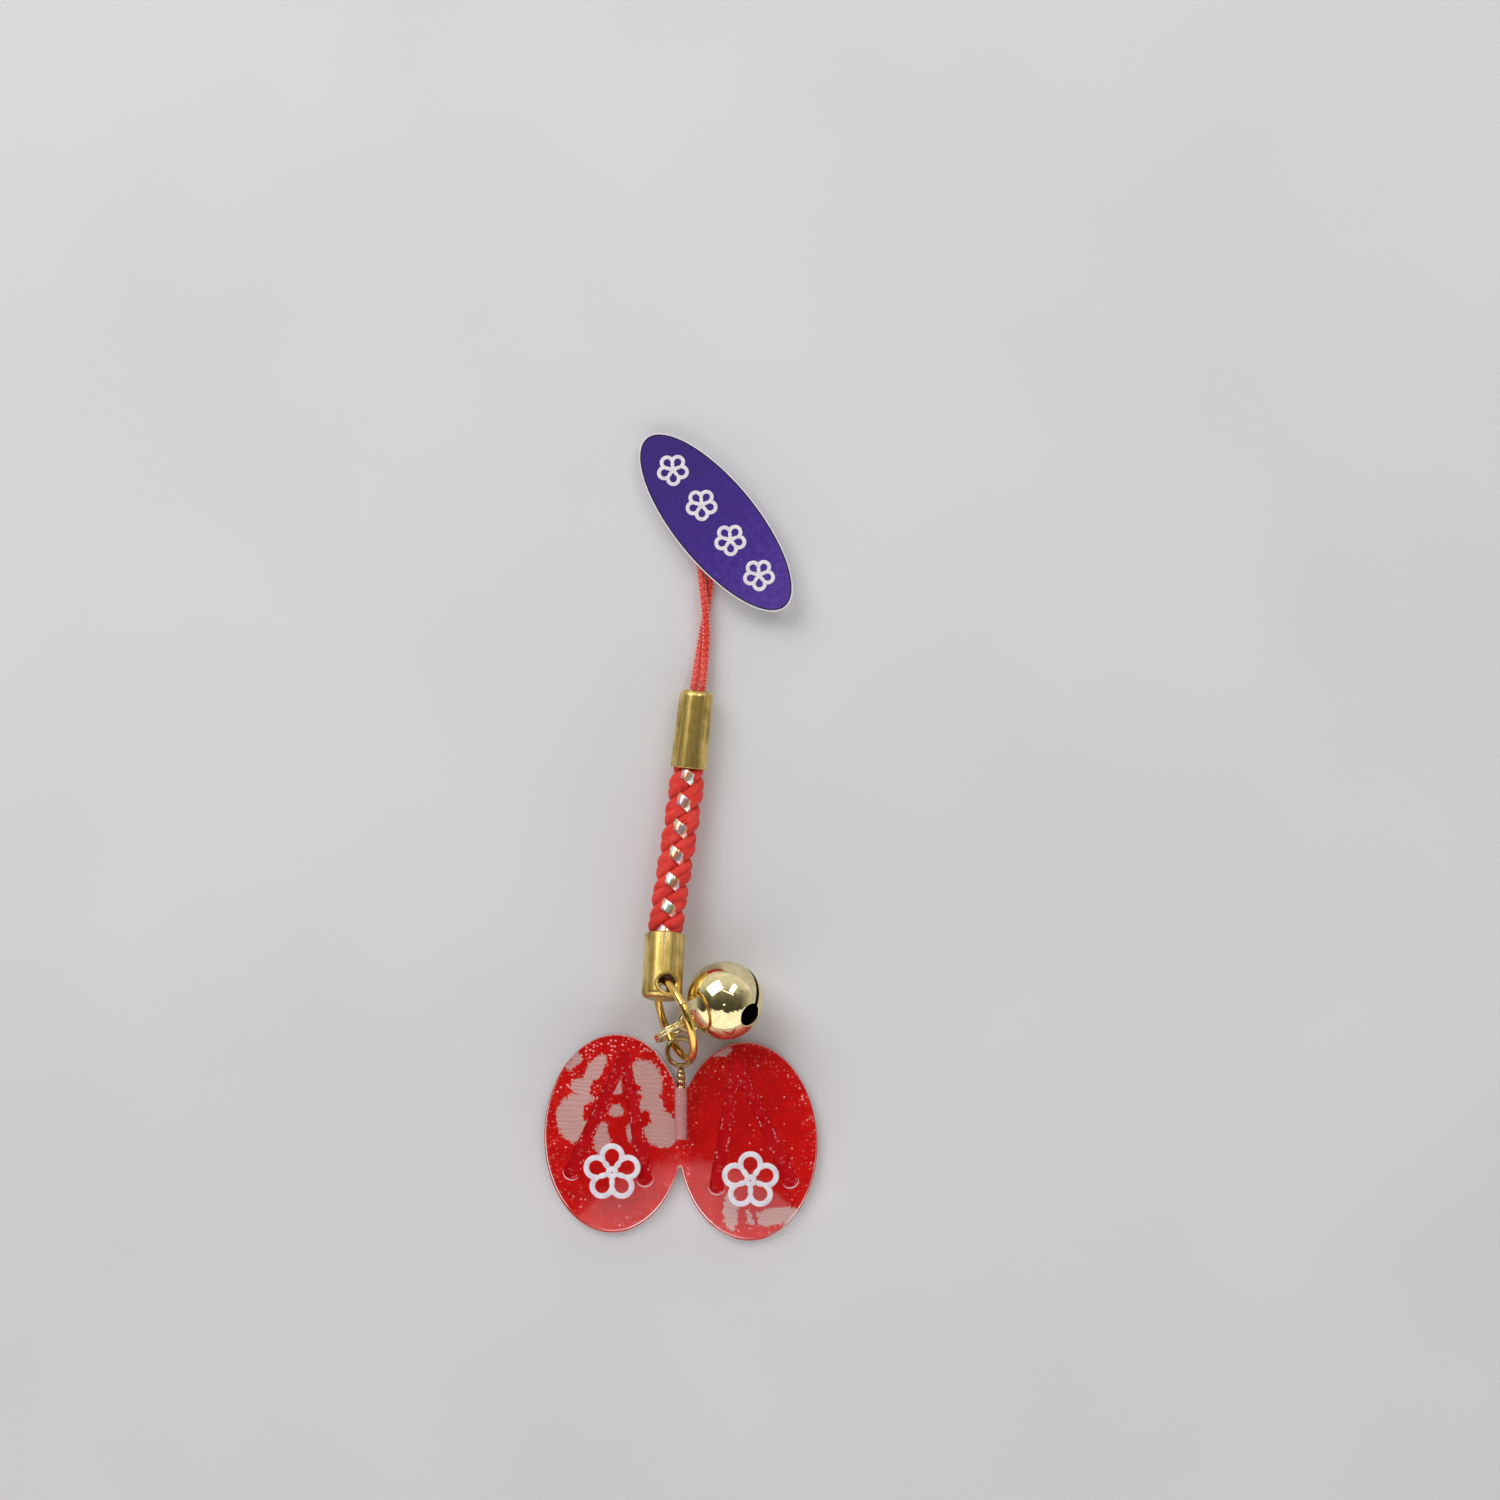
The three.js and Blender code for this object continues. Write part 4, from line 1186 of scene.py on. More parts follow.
class CHARM_OT_label(bpy.types.Operator):
    """Add the oval label: paper with a white edge, a dark line, an inked ground and blossoms"""

    bl_idname = "charm.label"
    bl_label = "Paper label"

    def execute(self, context):
        label = context.scene.charm_label
        middle, axes, size = node_axes("tag_label")
        along = axes[0] if axes[0] @ AHEAD < 0 else -axes[0]
        normal = axes[2] if axes[2] @ UP > 0 else -axes[2]
        across = np.cross(normal, along)
        paper = printed_paper("bare_paper", label.paper, (1, 1, 1))
        foot, top = middle - normal * size[2] / 2, middle + normal * size[2] / 2
        name, *blossom_names = label_names(label)
        levels = self.levels(label, foot, top)
        rows = [oval_loop(level, along, across, share * size[0] / 2, share * size[1] / 2, inset)
                for level, share, inset, _ in levels]
        oval = skin(name, rows, paper)
        self.print_ground(oval, label, levels, along, middle, size[0])
        settle(oval, "strap", "label", "tag_label")
        for number, name in enumerate(blossom_names):
            shift = (number - (label.ornaments - 1) / 2) * label.ornament_step
            spot = top + along * shift
            blossom = drawn_blossom(name, spot, -across, -along, label, label.ornament, paper)
            settle(blossom, "strap", "label")
        return {"FINISHED"}

    def levels(self, label, foot, top):
        """The label's loops: middle, share of the oval, inset, and the finish that follows."""
        edge, line, ground = range(3)
        outline = label.border + label.outline
        return (
            (foot, 0.5, 0.0, edge),
            (foot, 1.0, 0.0, edge),
            (top, 1.0, 0.0, edge),
            (top, 1.0, label.border, line),
            (top, 1.0, outline, ground),
            (top, 0.75, 0.0, ground),
            (top, 0.4, 0.0, ground),
            (top, 0.1, 0.0, ground),
        )

    def print_ground(self, oval, label, levels, along, middle, length):
        """Prints the dark line and the ground, which grows lighter along the label."""
        slope = along * 0.5 / (length / MM)
        start = -float(slope @ middle) / MM
        line_ink = printed_paper("dark_line", srgb(30, 18, 58), label.ink)
        ink = printed_paper("inked_paper", label.ink, srgb(112, 78, 180), slope, start)
        oval.data.materials.append(line_ink)
        oval.data.materials.append(ink)
        faces = oval.data.polygons
        sides = (len(faces) - 2) // (len(levels) - 1)
        for face in faces:
            row = face.index // sides
            if row < len(levels) - 1:
                face.material_index = levels[row][3]
        faces[len(faces) - 1].material_index = levels[-1][3]


class CHARM_OT_loop(bpy.types.Operator):
    """Add the cord loop for hanging, which carries the label, and its knot in the ferrule"""

    bl_idname = "charm.loop"
    bl_label = "Loop and knot"

    def execute(self, context):
        loop = context.scene.charm_loop
        finish = loop_braid(loop.colour)
        line = loop_line()
        cord = skin("hanging_loop", tube_rows(line, loop.diameter / 2, 16), finish)
        settle(cord, "strap", "loop_cord", "loop_cord")
        self.add_knot(loop, finish)
        return {"FINISHED"}

    def add_knot(self, loop, finish):
        """The overhand knot that holds the loop's two ends inside the ferrule."""
        low, high = node_box("loop_knot")
        axis = cup_line("upper_ferrule", AHEAD)[1]
        thickness = loop.diameter * KNOT_CORD
        width = (high[0] - low[0] - 2 * thickness) * KNOT_WIDTH
        run = knot_line((low + high) / 2, axis, width, (high[1] - low[1]) * KNOT_LENGTH)
        knot = skin("overhand_knot", tube_rows(run, thickness, 10), finish, closed=True)
        settle(knot, "strap", "loop_cord", "loop_knot")


# Cups

def cup_profile(foot, end, wall, length, corner, hole, floor):
    """A cup's section from the hole's inner edge down inside, round the lip and over the end."""
    inner = max(corner - wall, wall / 2)
    lip = wall * 0.35
    smallest_bore = 0.02 * MM
    bore = max(hole / 2, smallest_bore)
    profile = [(bore, length - floor)]
    profile += rounded_corner(end - wall - inner, length - floor - inner, inner, 6, False)
    profile += [(foot - wall, lip), (foot - wall + lip, 0.0), (foot - lip, 0.0), (foot, lip)]
    profile += rounded_corner(end - corner, length - corner, corner, 9, True)
    profile.append((bore, length))
    return profile


class CHARM_OT_cups(bpy.types.Operator):
    """Add the brass ferrule and the brass cap with its cross hole"""

    bl_idname = "charm.cups"
    bl_label = "Brass cups"

    def execute(self, context):
        cups = context.scene.charm_cups
        brass = satin_brass(cups.brass)
        turned = turned_brass(cups.brass)
        self.add_ferrule(cups, brass, turned)
        self.add_cap(cups, brass, turned)
        return {"FINISHED"}

    def add_ferrule(self, cups, brass, turned):
        """The tapered cup over the braid's upper end, with a hole for the loop."""
        mouth, axis, length = cup_line("upper_ferrule", AHEAD)
        profile = cup_profile(cups.ferrule_mouth / 2, cups.ferrule_end / 2, cups.ferrule_wall,
                              length, cups.corner, cups.ferrule_hole, cups.ferrule_wall)
        ferrule = skin("brass_ferrule", turned_rows(profile, mouth, axis, 72), brass, closed=True)
        self.face_end(ferrule, axis, turned)
        settle(ferrule, "strap", "brass_cup", "upper_ferrule")

    def add_cap(self, cups, brass, turned):
        """The straight cup under the braid, whose solid end has a cross hole with rolled lips."""
        mouth, axis, length = cup_line("lower_cap", -AHEAD)
        hole_middle = np.array(JOINTS["ring_swing"]["pos_m"], dtype=float)
        half = cups.cap_width / 2
        solid_end = length - (hole_middle - mouth) @ axis + cups.cap_hole / 2 + cups.cap_wall
        profile = cup_profile(half, half, cups.cap_wall, length, cups.corner, 0.0, solid_end)
        cap = skin("brass_cap", turned_rows(profile, mouth, axis, 72), brass)
        self.face_end(cap, axis, turned)
        hole_axis = unit(np.cross(node_axes("main_ring")[1][2], axis))
        ends = [hole_middle - hole_axis * cups.cap_width, hole_middle + hole_axis * cups.cap_width]
        drill = skin("cross_hole", tube_rows(np.array(ends), cups.cap_hole / 2, 48), shaded_brass())
        carve(cap, [drill])
        rims = [self.hole_rim(mouth, axis, hole_middle, hole_axis * way, cups) for way in (-1, 1)]
        lips = [skin("hole_lip", tube_rows(rim, cups.lip, 10), brass, closed=True) for rim in rims]
        settle(joined("cap_hole_lips", lips), "cap", "brass_cup")
        settle(cap, "cap", "brass_cup", "lower_cap")

    def face_end(self, cup, axis, finish):
        """Gives the faces of a cup's closed end a finish of their own."""
        nearly_along = 0.9
        cup.data.materials.append(finish)
        for face in cup.data.polygons:
            if np.array(face.normal) @ axis > nearly_along:
                face.material_index = 1

    def hole_rim(self, mouth, axis, hole_middle, out, cups):
        """The line where the cross hole meets the outside of the cap on one side."""
        side = np.cross(axis, out)
        half = cups.cap_width / 2
        reach = cups.cap_hole / 2 + cups.lip_seat
        line = []
        for point in hole_middle + reach * circle(full_turn(64), axis, side):
            from_axis = point - mouth
            from_axis = from_axis - axis * (from_axis @ axis)
            rise = math.sqrt(max(half ** 2 - (from_axis @ side) ** 2, 0.0)) - from_axis @ out
            line.append(point + rise * out)
        return np.array(line)


# Braid

def braid_line(braid, steps=240):
    """The strap's line from the cap's mouth to the ferrule's, as four control points give it."""
    cap_mouth, cap_axis, _ = cup_line("lower_cap", -AHEAD)
    top_mouth, top_axis, _ = cup_line("upper_ferrule", AHEAD)
    controls = (cap_mouth, cap_mouth - cap_axis * braid.cap_stretch,
                top_mouth - top_axis * braid.ferrule_stretch, top_mouth)
    share = np.linspace(0, 1, steps)[:, None]
    rest = 1 - share
    curve = (rest ** 3 * controls[0] + 3 * rest ** 2 * share * controls[1]
             + 3 * rest * share ** 2 * controls[2] + share ** 3 * controls[3])
    run_in = np.linspace(braid.held, 0, 20, endpoint=False)[:, None]
    run_out = np.linspace(0, braid.held, 21)[1:, None]
    return np.vstack((cap_mouth + cap_axis * run_in, curve, top_mouth + top_axis * run_out))


class BraidPath:
    """Places on and round the strap's line: how far along, which way is up, and how full it is."""

    def __init__(self, braid):
        self.line = braid_line(braid)
        steps = np.linalg.norm(np.diff(self.line, axis=0), axis=1)
        self.along = np.concatenate(([0.0], np.cumsum(steps)))
        self.up, self.side = carried_frames(self.line)
        from_mouth = np.minimum(self.along, self.along[-1] - self.along) - braid.held
        self.fullness = np.interp(from_mouth, (-braid.held, 0.0, BRAID_SWELL), BRAID_FULLNESS)

    def strand(self, turn, phase, hand, radius_at, offset=0.0):
        """A strand's line and its outward directions; offset shifts it along the strap."""
        angle = hand * math.tau * (self.along - offset) / turn + phase
        out = circle(angle, self.side, self.up)
        radius = radius_at(angle) * self.fullness
        return self.line + radius[:, None] * out, out


class CHARM_OT_braid(bpy.types.Operator):
    """Add the braid's red yarn pairs and its shining tapes, bending between cap and ferrule"""

    bl_idname = "charm.braid"
    bl_label = "Braided strap"

    def execute(self, context):
        braid = context.scene.charm_braid
        path = BraidPath(braid)
        yarn = self.add_yarn(braid, path)
        tape = self.add_tape(braid, path)
        for piece in (yarn, tape):
            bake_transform(piece)
        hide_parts("braid_cord")
        return {"FINISHED"}

    def add_yarn(self, braid, path):
        """Two pairs of soft cords, lumpy and fuller at the strap's sides."""
        middle = (braid.yarn_high + braid.yarn_low) / 2
        swing = (braid.yarn_high - braid.yarn_low) / 2

        def height(angle):
            return middle + swing * np.cos(2 * angle)

        finish = red_yarn(braid.red)
        pitch = math.atan2(math.tau * middle, braid.turn)
        offset = braid.yarn / 4 / math.sin(pitch)
        cords = []
        for phase in (0.0, math.pi):
            for side in (-1, 1):
                line, out = path.strand(braid.turn, phase, -1, height, side * offset)
                aside = np.einsum("ij,ij->i", out, path.side) ** 2
                ripple = np.sin(path.along / MM * 1.3 + 3 * phase + side)
                radius = braid.yarn / 2 * path.fullness * (0.95 + 0.1 * aside + 0.05 * ripple)
                cords.append(skin("yarn", tube_rows(line, radius, 16), finish))
        return joined("braid_yarn", cords)

    def add_tape(self, braid, path):
        """Two flat tapes that run the other way and rise between the cords."""
        middle = (braid.tape_high + braid.tape_low) / 2
        swing = (braid.tape_high - braid.tape_low) / 2
        flatness = 0.1

        def height(angle):
            return middle - swing * np.cos(2 * angle)

        finish = shining_tape(braid.turn)
        tapes = []
        for phase in (0.0, math.pi):
            line, out = path.strand(braid.turn, phase, 1, height)
            tapes.append(skin("tape", tube_rows(line, braid.tape / 2, 12, out, flatness), finish))
        return joined("braid_tape", tapes)


# Rings and screw eye

def split_ring_rows(node, split, cut_angle, sides=20):
    """Loops of a split ring's wire, with a hair-wide cut."""
    middle, axes, size = node_axes(node)
    wire = size[2]
    radius = (size[0] - wire) / 2
    cut = split / radius
    turns = cut_angle + np.linspace(cut, math.tau - cut, 120)
    line = middle + radius * circle(turns, axes[0], np.cross(axes[2], axes[0]))
    return tube_rows(line, wire / 2, sides, axes[2])


def coil_rows(node, sides=16):
    """Loops of a double split ring's wire: two turns side by side, stepping across in one place."""
    middle, axes, size = node_axes(node)
    radius = (size[0] - size[2]) / 2
    lead = 0.35
    turns = np.linspace(lead, 2 * math.tau - lead, 240)
    step = np.clip((turns - math.tau + lead) / (2 * lead), 0, 1)
    aside = (step * step * (3 - 2 * step) - 0.5) * size[2] * 0.5
    flat_ring = middle + radius * circle(turns, axes[0], np.cross(axes[2], axes[0]))
    return tube_rows(flat_ring + aside[:, None] * axes[2], size[2] * 0.27, sides, axes[2])


class CHARM_OT_rings(bpy.types.Operator):
    """Add the gold main ring and the bell's own ring"""

    bl_idname = "charm.rings"
    bl_label = "Split rings"

    def execute(self, context):
        metal = context.scene.charm_metal
        gold = polished_gold("ring_gold", metal.ring, 0.11)
        pale = polished_gold("pale_gold", metal.bell, 0.1)
        cut_angle = 2.4
        ring = skin("gold_ring", split_ring_rows("main_ring", metal.split, cut_angle), gold)
        settle(ring, "ring", "ring", "main_ring")
        link = skin("bell_split_ring", coil_rows("bell_ring"), pale)
        settle(link, "bell_link", "bell_gold", "bell_ring")
        return {"FINISHED"}


class CHARM_OT_screw_eye(bpy.types.Operator):
    """Add the screw eye: a wire eye on a shank whose thread shows up to the notch"""

    bl_idname = "charm.screw_eye"
    bl_label = "Screw eye"

    def execute(self, context):
        metal = context.scene.charm_metal
        low, high = node_box("screw_eye")
        wire = metal.eye_wire
        radius = (high[0] - low[0] - wire) / 2
        middle = (low + high) / 2
        middle[1] = high[1] - radius - wire / 2
        # A darker, greyer gold than the main ring.
        dark_olive_gold = toward(shade(metal.ring, 0.62), (0.3, 0.27, 0.2), 0.4)
        finish = polished_gold("eye_gold", dark_olive_gold, 0.12)
        line = middle + radius * circle(full_turn(96), ACROSS, AHEAD)
        eye = skin("eye_ring", tube_rows(line, wire / 2, 16, UP), finish, closed=True)
        neck = middle - radius * AHEAD
        shank = skin("threaded_shank", self.shank_rows(metal, neck, low[1]), finish)
        settle(joined("threaded_eye", [eye, shank]), "soles", "screw_eye", "screw_eye")
        return {"FINISHED"}

    def shank_rows(self, metal, neck, tip, sides=24, steps=260):
        """Loops down the shank: a neck that widens, a thread, and a point at the tip."""
        around = full_turn(sides)
        heights = np.linspace(neck[1], tip, steps)
        depth = neck[1] - heights
        thread_start, full_width = 0.5 * MM, 0.9 * MM
        widths = (metal.eye_wire / 2, metal.shank * 0.32, metal.shank * 0.4)
        base = np.interp(depth, (0, thread_start, full_width), widths)
        point = np.interp(heights - tip, (0, full_width), (0.12, 1.0))
        ridge = np.interp(depth, (thread_start, 0.8 * MM), (0, metal.shank * 0.1))
        wave = 0.5 + 0.5 * np.cos(around - math.tau * heights[:, None] / metal.thread)
        size = (base[:, None] + ridge[:, None] * wave) * point[:, None]
        rows = np.empty((steps, sides, 3))
        rows[:, :, 0] = neck[0] + size * np.cos(around)
        rows[:, :, 1] = heights[:, None]
        rows[:, :, 2] = neck[2] + size * np.sin(around)
        return rows


# Bell

def dome_profile(radius, wall, seam, steps=48):
    """Half of the bell's wall from inside the foot round the rim to the outside."""
    pole_gap = 0.004
    turns = np.linspace(math.pi / 2 - pole_gap, math.asin(seam / radius), steps)
    section = np.column_stack((np.cos(turns), np.sin(turns)))
    return np.vstack(((radius - wall) * section, radius * section[::-1]))


def mouth_edge(middle, axis, slit_line, radius, metal, lift, steps=40):
    """The run of the mouth's edge on the ball, round one end, along the slit, round and back.

    The second list says which of its points lie in the slit."""
    square = np.cross(axis, slit_line)
    hole = (metal.mouth_hole / 2 + lift) / radius
    slit = (metal.mouth_slit / 2 + lift) / radius
    opening = math.asin(slit / hole)
    spread = metal.mouth_spread
    places = []
    in_slit = []
    for end in (1, -1):
        for turn in np.linspace(opening - math.pi, math.pi - opening, steps):
            places.append((end * (spread + hole * math.cos(turn)), -end * hole * math.sin(turn)))
        start = end * (spread - hole * math.cos(opening))
        for share in np.linspace(0.03, 0.97, steps):
            places.append((start * (1 - 2 * share), -end * slit))
        in_slit += [False] * steps + [True] * steps
    line = []
    for lean, aside in places:
        out = math.cos(lean) * axis + math.sin(lean) * slit_line
        line.append(middle + (radius - lift) * unit(math.cos(aside) * out + math.sin(aside) * square))
    return np.array(line), np.array(in_slit)


def mouth_cutters(middle, axis, slit_line, radius, metal, finish):
    """A thin slab across the foot and a round bar through each end of the slit."""
    square = np.cross(axis, slit_line)
    spread = metal.mouth_spread
    reach = radius * math.sin(spread)
    floor, top = radius * math.cos(spread) - 1.2 * MM, radius + 1.0 * MM
    corners = ((-reach, floor), (-reach, top), (reach, top), (reach, floor))
    rows = []
    for across in (-metal.mouth_slit / 2, metal.mouth_slit / 2):
        near = middle + across * square
        rows.append([near + along * slit_line + rise * axis for along, rise in corners])
    cutters = [skin("slit_cutter", rows, finish)]
    inner_end, outer_end = radius - 1.0 * MM, radius + 0.8 * MM
    for end in (-1, 1):
        out = math.cos(spread) * axis + end * math.sin(spread) * slit_line
        bar = np.array((middle + out * inner_end, middle + out * outer_end))
        cutters.append(skin("hole_cutter", tube_rows(bar, metal.mouth_hole / 2, 40), finish))
    return cutters


class CHARM_OT_bell(bpy.types.Operator):
    """Add the bell's two polished halves, its mouth with a rolled edge, its loop and its pellet"""

    bl_idname = "charm.bell"
    bl_label = "Bell"

    def execute(self, context):
        metal = context.scene.charm_metal
        middle, axis, level, upright = bell_axes()
        radius = float(np.linalg.norm(node_points("bell_mouth_half") - middle, axis=1).max())
        gold = polished_gold("bell_gold", metal.bell, 0.045)
        inside = dark_inside()
        turn = metal.mouth_turn
        slit_line = -math.cos(turn) * level + math.sin(turn) * upright
        foot = self.half("bell_foot", metal, middle, axis, radius, gold, inside)
        crown = self.half("bell_crown", metal, middle, -axis, radius, gold, inside)
        carve(foot, mouth_cutters(middle, axis, slit_line, radius, metal, inside))
        settle(foot, "bell", "bell_gold", "bell_mouth_half")
        settle(crown, "bell", "bell_gold", "bell_crown_half")
        edge, in_slit = mouth_edge(middle, axis, slit_line, radius, metal, metal.mouth_rim * 0.6)
        bead = np.where(in_slit, metal.mouth_rim * 0.4, metal.mouth_rim)
        rim = skin("mouth_rim", tube_rows(edge, bead, 10), gold, closed=True)
        settle(rim, "bell", "bell_gold")
        self.add_loop(metal, middle, axis, level, gold)
        pellet = frame["nodes"]["bell_pellet"]
        pellet.data.materials.clear()
        pellet.data.materials.append(dull_steel())
        return {"FINISHED"}

    def half(self, name, metal, middle, way, radius, gold, inside):
        """One pressed half, gold outside and dark inside."""
        profile = dome_profile(radius, metal.bell_wall, metal.seam)
        half = skin(name, turned_rows(profile, middle, way, 128), gold)
        half.data.materials.append(inside)
        inner_reach = radius - metal.bell_wall * 0.7
        for face in half.data.polygons:
            if np.linalg.norm(np.array(face.center) - middle) < inner_reach:
                face.material_index = 1
        return half

    def add_loop(self, metal, middle, axis, level, gold):
        """The wire loop: two legs out of the crown and a round bow over them."""
        heights = (middle - node_points("bell_loop")) @ axis
        foot, reach = float(heights.min()), float(heights.max())
        radius = metal.loop_radius
        bow = reach - metal.loop_wire / 2 - radius
        places = [(radius, height) for height in np.linspace(foot, bow, 10)[:-1]]
        for turn in np.linspace(0, math.pi, 33):
            places.append((radius * math.cos(turn), bow + radius * math.sin(turn)))
        places += [(-radius, height) for height in np.linspace(bow, foot, 10)[1:]]
        line = np.array([middle + across * level - rise * axis for across, rise in places])
        loop = skin("bell_wire_loop", tube_rows(line, metal.loop_wire / 2, 18), gold)
        settle(loop, "bell", "bell_gold", "bell_loop")


# Soles

class SolePlan:
    """The outline of both soles and the line of each strap, about the middle of the waist."""

    def __init__(self, soles):
        self.soles = soles
        low, high = node_box("back_plate")
        self.middle = (low + high) / 2
        self.middle[2] = 0.0

    def sole_place(self, hand, side, along):
        """A point of one sole: side is outwards and along is towards the toe."""
        turn = hand * self.soles.toe_in
        across = hand * side
        x = across * math.cos(turn) - along * math.sin(turn) + hand * self.soles.spacing / 2
        y = across * math.sin(turn) + along * math.cos(turn) - hand * self.soles.stagger / 2
        return self.middle + np.array((x, y, 0.0))

    def oval_run(self, hand, steps=110):
        """Points round one sole from notch to notch, counter-clockwise."""
        soles = self.soles
        half_width, half_length = soles.width / 2, soles.length / 2
        turn = hand * soles.toe_in
        tilt = (half_width * math.sin(turn), half_length * math.cos(turn))
        heading = math.atan2(tilt[1], tilt[0])

        def angle_at(height):
            return heading + hand * math.acos(height / math.hypot(*tilt))

        drop = hand * soles.stagger / 2
        toe = angle_at(half_length - soles.toe_notch + drop)
        heel = angle_at(-(half_length - soles.heel_notch) + drop)
        first, last = (toe, heel) if hand < 0 else (heel, toe)
        points = []
        for angle in np.linspace(first, last + math.tau, steps):
            side = hand * half_width * math.cos(angle)
            points.append(self.sole_place(hand, side, half_length * math.sin(angle)))
        return np.array(points)

    def notch(self, start, end, dip):
        """Three points between the soles, bowed along the notch by a dip."""
        shares = np.array((0.25, 0.5, 0.75))[:, None]
        return start * (1 - shares) + end * shares + dip * AHEAD * 4 * shares * (1 - shares)

    def outline(self, inset=0.0):
        """The whole outline, moved in from the edge by an even distance."""
        left, right = self.oval_run(-1), self.oval_run(1)
        heel = self.notch(left[-1], right[0], NOTCH_DIP)
        toe = self.notch(right[-1], left[0], -NOTCH_DIP)
        points = np.vstack((left, heel, right, toe))
        ahead = np.roll(points, -1, axis=0) - np.roll(points, 1, axis=0)
        return points - inset * units(np.cross(ahead, UP))

    def strap_line(self, hand, end_side, end_along):
        """A strap from the toe out to one side of a sole, bowed a little outwards."""
        toe = self.sole_place(hand, STRAP_TOE[0] * MM, STRAP_TOE[1] * MM)
        end = self.sole_place(hand, end_side * MM, end_along * MM)
        bow = hand * math.copysign(STRAP_BOW * MM, end_side)
        control = (toe + end) / 2 + bow * ACROSS
        share = np.linspace(0, 1, 48)[:, None]
        return (1 - share) ** 2 * toe + 2 * share * (1 - share) * control + share ** 2 * end

    def strap_lines(self):
        """The four straps' lines, two on each sole."""
        return [self.strap_line(hand, *end) for hand in (-1, 1) for end in STRAP_ENDS]


def plate(name, node, plan, finish, bonded, stuck_end):
    """A sheet cut to the soles' outline with a small bevel at both faces.

    The end that is stuck to the cloth is 0 for the lower face and 1 for the upper."""
    low, high = node_box(node)
    low, high, edge = low[2], high[2], plan.soles.edge
    levels = ((low, edge), (low + edge, 0.0), (high - edge, 0.0), (high, edge))
    rows = []
    for height, inset in levels:
        loop = plan.outline(inset)
        loop[:, 2] = height
        rows.append(loop)
    piece = skin(name, rows, finish, smooth_angle=28)
    piece.data.materials.append(bonded)
    faces = piece.data.polygons
    faces[len(faces) - 2 + stuck_end].material_index = 1
    piece.visible_shadow = False
    return piece


def strap_cutter(line, top, soles, finish):
    """A long flat-bottomed scoop with round ends along one strap, wider towards its end."""
    share = np.linspace(0, 1, len(line))
    halves = (soles.strap_toe + (soles.strap_end - soles.strap_toe) * share ** 2) / 2
    nearly_square = math.pi / 2 * 0.96
    turns = np.linspace(0, nearly_square, 8)[1:]
    ahead = unit(line[0] - line[1])
    beyond = unit(line[-1] - line[-2])
    start = line[0] + ahead * halves[0] * np.sin(turns[::-1])[:, None]
    close = line[-1] + beyond * halves[-1] * np.sin(turns)[:, None]
    run = np.vstack((start, line, close))
    width = np.concatenate((halves[0] * np.cos(turns[::-1]), halves, halves[-1] * np.cos(turns)))
    run[:, 2] = top
    across = width[:, None] * units(np.cross(UP, np.gradient(run, axis=0)))
    depth = soles.strap_depth * UP
    rows = [[point + side * aside + rise * depth for side, rise in STRAP_SECTION]
            for point, aside in zip(run, across)]
    return skin("strap_cutter", rows, finish)


def crinkled_sheet(name, edge, level):
    """A cut sheet of crepe as a fine mesh with raised crinkles, and its flat area."""
    rim = edge[:, :2] / MM
    low, high = rim.min(axis=0), rim.max(axis=0)
    across, along = (np.arange(low[axis], high[axis], CREPE_STEPS[axis]) for axis in (0, 1))
    places = [Vector(place) for place in (*rim.tolist(), *((x, y) for y in along for x in across))]
    points, _, faces, *_ = delaunay_2d_cdt(places, [], [list(range(len(rim)))], 1, 1e-5)
    flat = np.array([tuple(point) for point in points])
    x, y = flat.T
    waver = 0.5 * np.sin(x / 1.9) + 0.35 * np.sin(x / 0.83 + y / 2.1) + 0.3 * np.sin(x / 3.7 + 1.1)
    swell = 0.7 + 0.3 * np.sin(1.3 * x + 0.7 * y)
    rise = CRINKLE_HEIGHT * swell * np.sin(math.tau * (y / CRINKLE_WIDTH + waver))
    mesh = bpy.data.meshes.new(name)
    mesh.from_pydata(np.column_stack((flat, rise + level / MM)) * MM, [], faces)
    ahead = np.roll(rim, -1, axis=0)
    area = abs(float((rim[:, 0] * ahead[:, 1] - rim[:, 1] * ahead[:, 0]).sum())) / 2 * MM ** 2
    return mesh, area


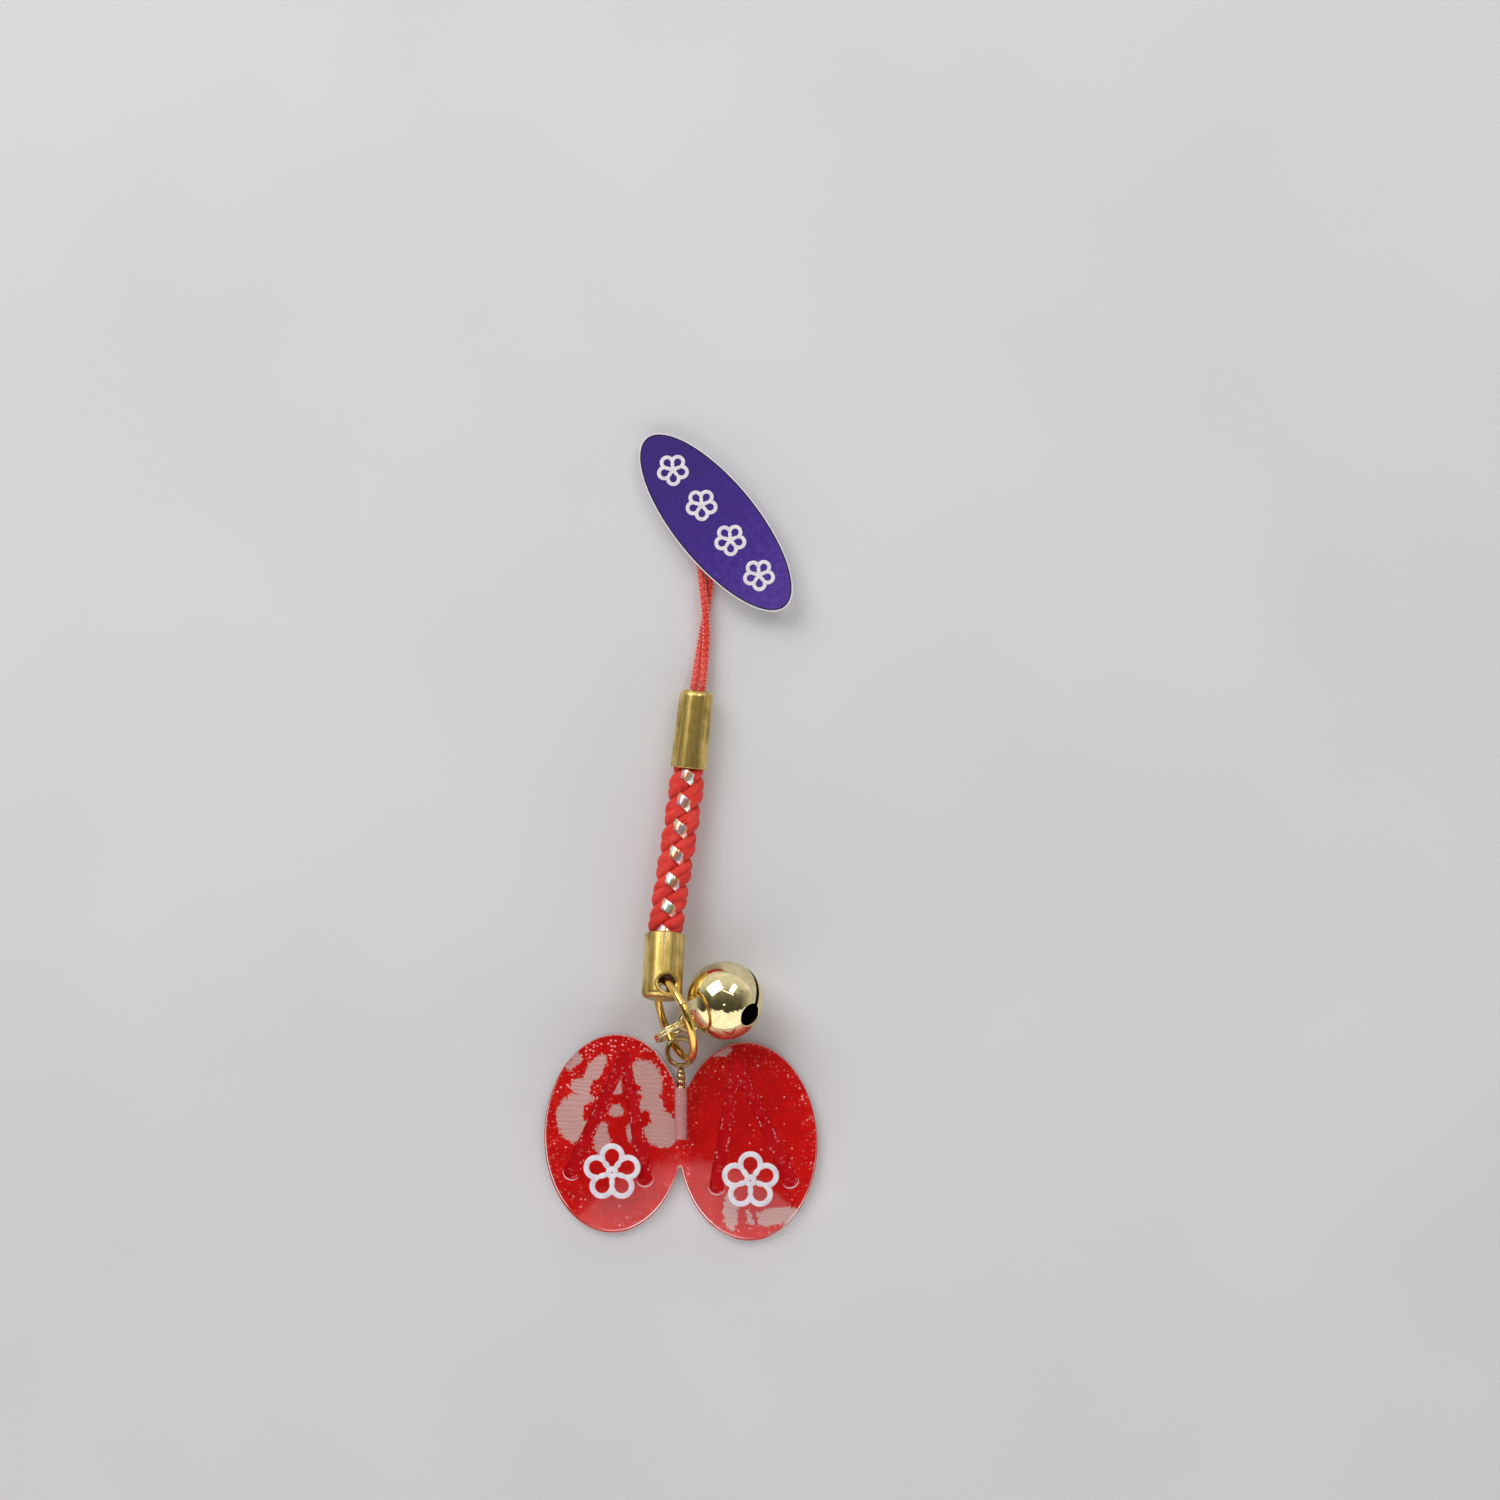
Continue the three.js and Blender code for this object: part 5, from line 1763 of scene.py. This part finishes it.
class CHARM_OT_soles(bpy.types.Operator):
    """Add the two acrylic plates, the front one with engraved straps and a drilled hole"""

    bl_idname = "charm.soles"
    bl_label = "Acrylic soles"

    def execute(self, context):
        soles = context.scene.charm_soles
        plan = SolePlan(soles)
        acrylic = clear_acrylic()
        bonded = bonded_face()
        top = node_box("front_plate")[1][2]
        front = plate("front_acrylic", "front_plate", plan, acrylic, bonded, 0)
        crimson = frosted("engraved_crimson", soles.crimson, 0.5)
        mauve = frosted("drilled_mauve", srgb(196, 138, 140), 0.2)
        cutters = [strap_cutter(line, top, soles, crimson) for line in plan.strap_lines()]
        cutters.append(self.shank_hole(plan, soles, mauve))
        carve(front, cutters)
        back = plate("back_acrylic", "back_plate", plan, acrylic, bonded, 1)
        settle(front, "soles", "clear_acrylic", "front_plate")
        settle(back, "soles", "clear_acrylic", "back_plate")
        self.add_painted_end_highlights(plan, soles, top)
        return {"FINISHED"}

    def shank_hole(self, plan, soles, finish):
        """The hole drilled down from the toe notch for the screw eye's shank."""
        low, high = node_box("screw_eye")
        middle = (low + high) / 2
        above_notch, below_tip = 2.0 * MM, 0.15 * MM
        top = plan.middle[1] + soles.length / 2 - soles.toe_notch + above_notch
        foot = low[1] - below_tip
        run = np.array(((middle[0], foot, middle[2]), (middle[0], top, middle[2])))
        return skin("shank_hole", tube_rows(run, soles.drill / 2, 32), finish)

    def add_painted_end_highlights(self, plan, soles, top):
        """The pale arc round the end of each strap: a painted highlight where light catches the
        groove's end wall.
        """
        # Painted highlight: pale arcs at the strap ends stand for light on the grooves' end walls.
        finish = white_paint(toward(soles.paint, soles.crimson, 0.25))
        reach = soles.strap_end / 2 + 0.15 * MM
        half_sweep = 1.25
        turns = np.linspace(-half_sweep, half_sweep, 30)
        thickness = soles.painted_end_highlight * np.cos(turns / half_sweep * math.pi / 2 * 0.9)
        arcs = []
        for line in plan.strap_lines():
            ahead = unit(line[-1] - line[-2])
            arc = line[-1] + reach * circle(turns, ahead, np.cross(UP, ahead))
            arc[:, 2] = top
            arcs.append(skin("painted_end_highlight", tube_rows(arc, thickness, 8), finish))
        settle(joined("strap_painted_end_highlights", arcs), "soles", "clear_acrylic")


class CHARM_OT_cloth(bpy.types.Operator):
    """Add the printed crepe sheet laid between the acrylic plates"""

    bl_idname = "charm.cloth"
    bl_label = "Crepe cloth"

    def execute(self, context):
        soles = context.scene.charm_soles
        plan = SolePlan(soles)
        low, high = node_box("fabric_sheet")
        trim = 0.03 * MM
        mesh, area = crinkled_sheet("crepe_sheet", plan.outline(trim), (low[2] + high[2]) / 2)
        rims = []
        for hand in (-1, 1):
            middle = plan.sole_place(hand, 0.0, 0.0)[:2] / MM
            turn = hand * math.degrees(soles.toe_in)
            rims.append((*middle, soles.width / 2 / MM, soles.length / 2 / MM, turn))
        finish = crepe_cloth(soles.red, soles.pale, rims)
        cloth = piece_from("crepe_sheet", mesh, finish, smooth_angle=80)
        settle(cloth, "soles", "crepe", "fabric_sheet")
        return {"FINISHED"}


class CHARM_OT_motifs(bpy.types.Operator):
    """Add a painted plum blossom near the heel of each sole"""

    bl_idname = "charm.motifs"
    bl_label = "Painted motifs"

    def execute(self, context):
        soles = context.scene.charm_soles
        plan = SolePlan(soles)
        top = node_box("front_plate")[1][2]
        paint = white_paint(soles.paint)
        for name, hand, (side, along) in MOTIF_PLACES:
            spot = plan.sole_place(hand, side * MM, along * MM)
            spot[2] = top
            motif = drawn_blossom(name, spot, ACROSS, AHEAD, soles, soles.motif, paint)
            settle(motif, "soles", "clear_acrylic")
        return {"FINISHED"}


class CHARM_PT_panel(bpy.types.Panel):
    """Lists the charm's pieces and the stage"""

    bl_idname = "CHARM_PT_panel"
    bl_label = "Good-luck charm"
    bl_space_type = "VIEW_3D"
    bl_region_type = "UI"
    bl_category = "Charm"

    def draw(self, context):
        for operator in OPERATORS:
            self.layout.operator(operator.bl_idname)
        for name in SETTINGS:
            box = self.layout.box()
            settings = getattr(context.scene, name)
            for setting in settings.bl_rna.properties:
                if setting.identifier not in {"rna_type", "name"}:
                    box.prop(settings, setting.identifier)


OPERATORS = (
    CHARM_OT_stage,
    CHARM_OT_label,
    CHARM_OT_loop,
    CHARM_OT_cups,
    CHARM_OT_braid,
    CHARM_OT_rings,
    CHARM_OT_screw_eye,
    CHARM_OT_bell,
    CHARM_OT_soles,
    CHARM_OT_cloth,
    CHARM_OT_motifs,
)


def register():
    for group in SETTINGS.values():
        bpy.utils.register_class(group)
    for name, group in SETTINGS.items():
        setattr(bpy.types.Scene, name, PointerProperty(type=group))
    for operator in OPERATORS:
        bpy.utils.register_class(operator)
    bpy.utils.register_class(CHARM_PT_panel)


def unregister():
    bpy.utils.unregister_class(CHARM_PT_panel)
    for operator in reversed(OPERATORS):
        bpy.utils.unregister_class(operator)
    for name in SETTINGS:
        delattr(bpy.types.Scene, name)
    for group in reversed(SETTINGS.values()):
        bpy.utils.unregister_class(group)


def main():
    register()
    bpy.ops.charm.stage()
    bpy.ops.charm.label()
    bpy.ops.charm.loop()
    bpy.ops.charm.cups()
    bpy.ops.charm.braid()
    bpy.ops.charm.rings()
    bpy.ops.charm.screw_eye()
    bpy.ops.charm.bell()
    bpy.ops.charm.soles()
    bpy.ops.charm.cloth()
    bpy.ops.charm.motifs()


if __name__ == "__main__":
    main()
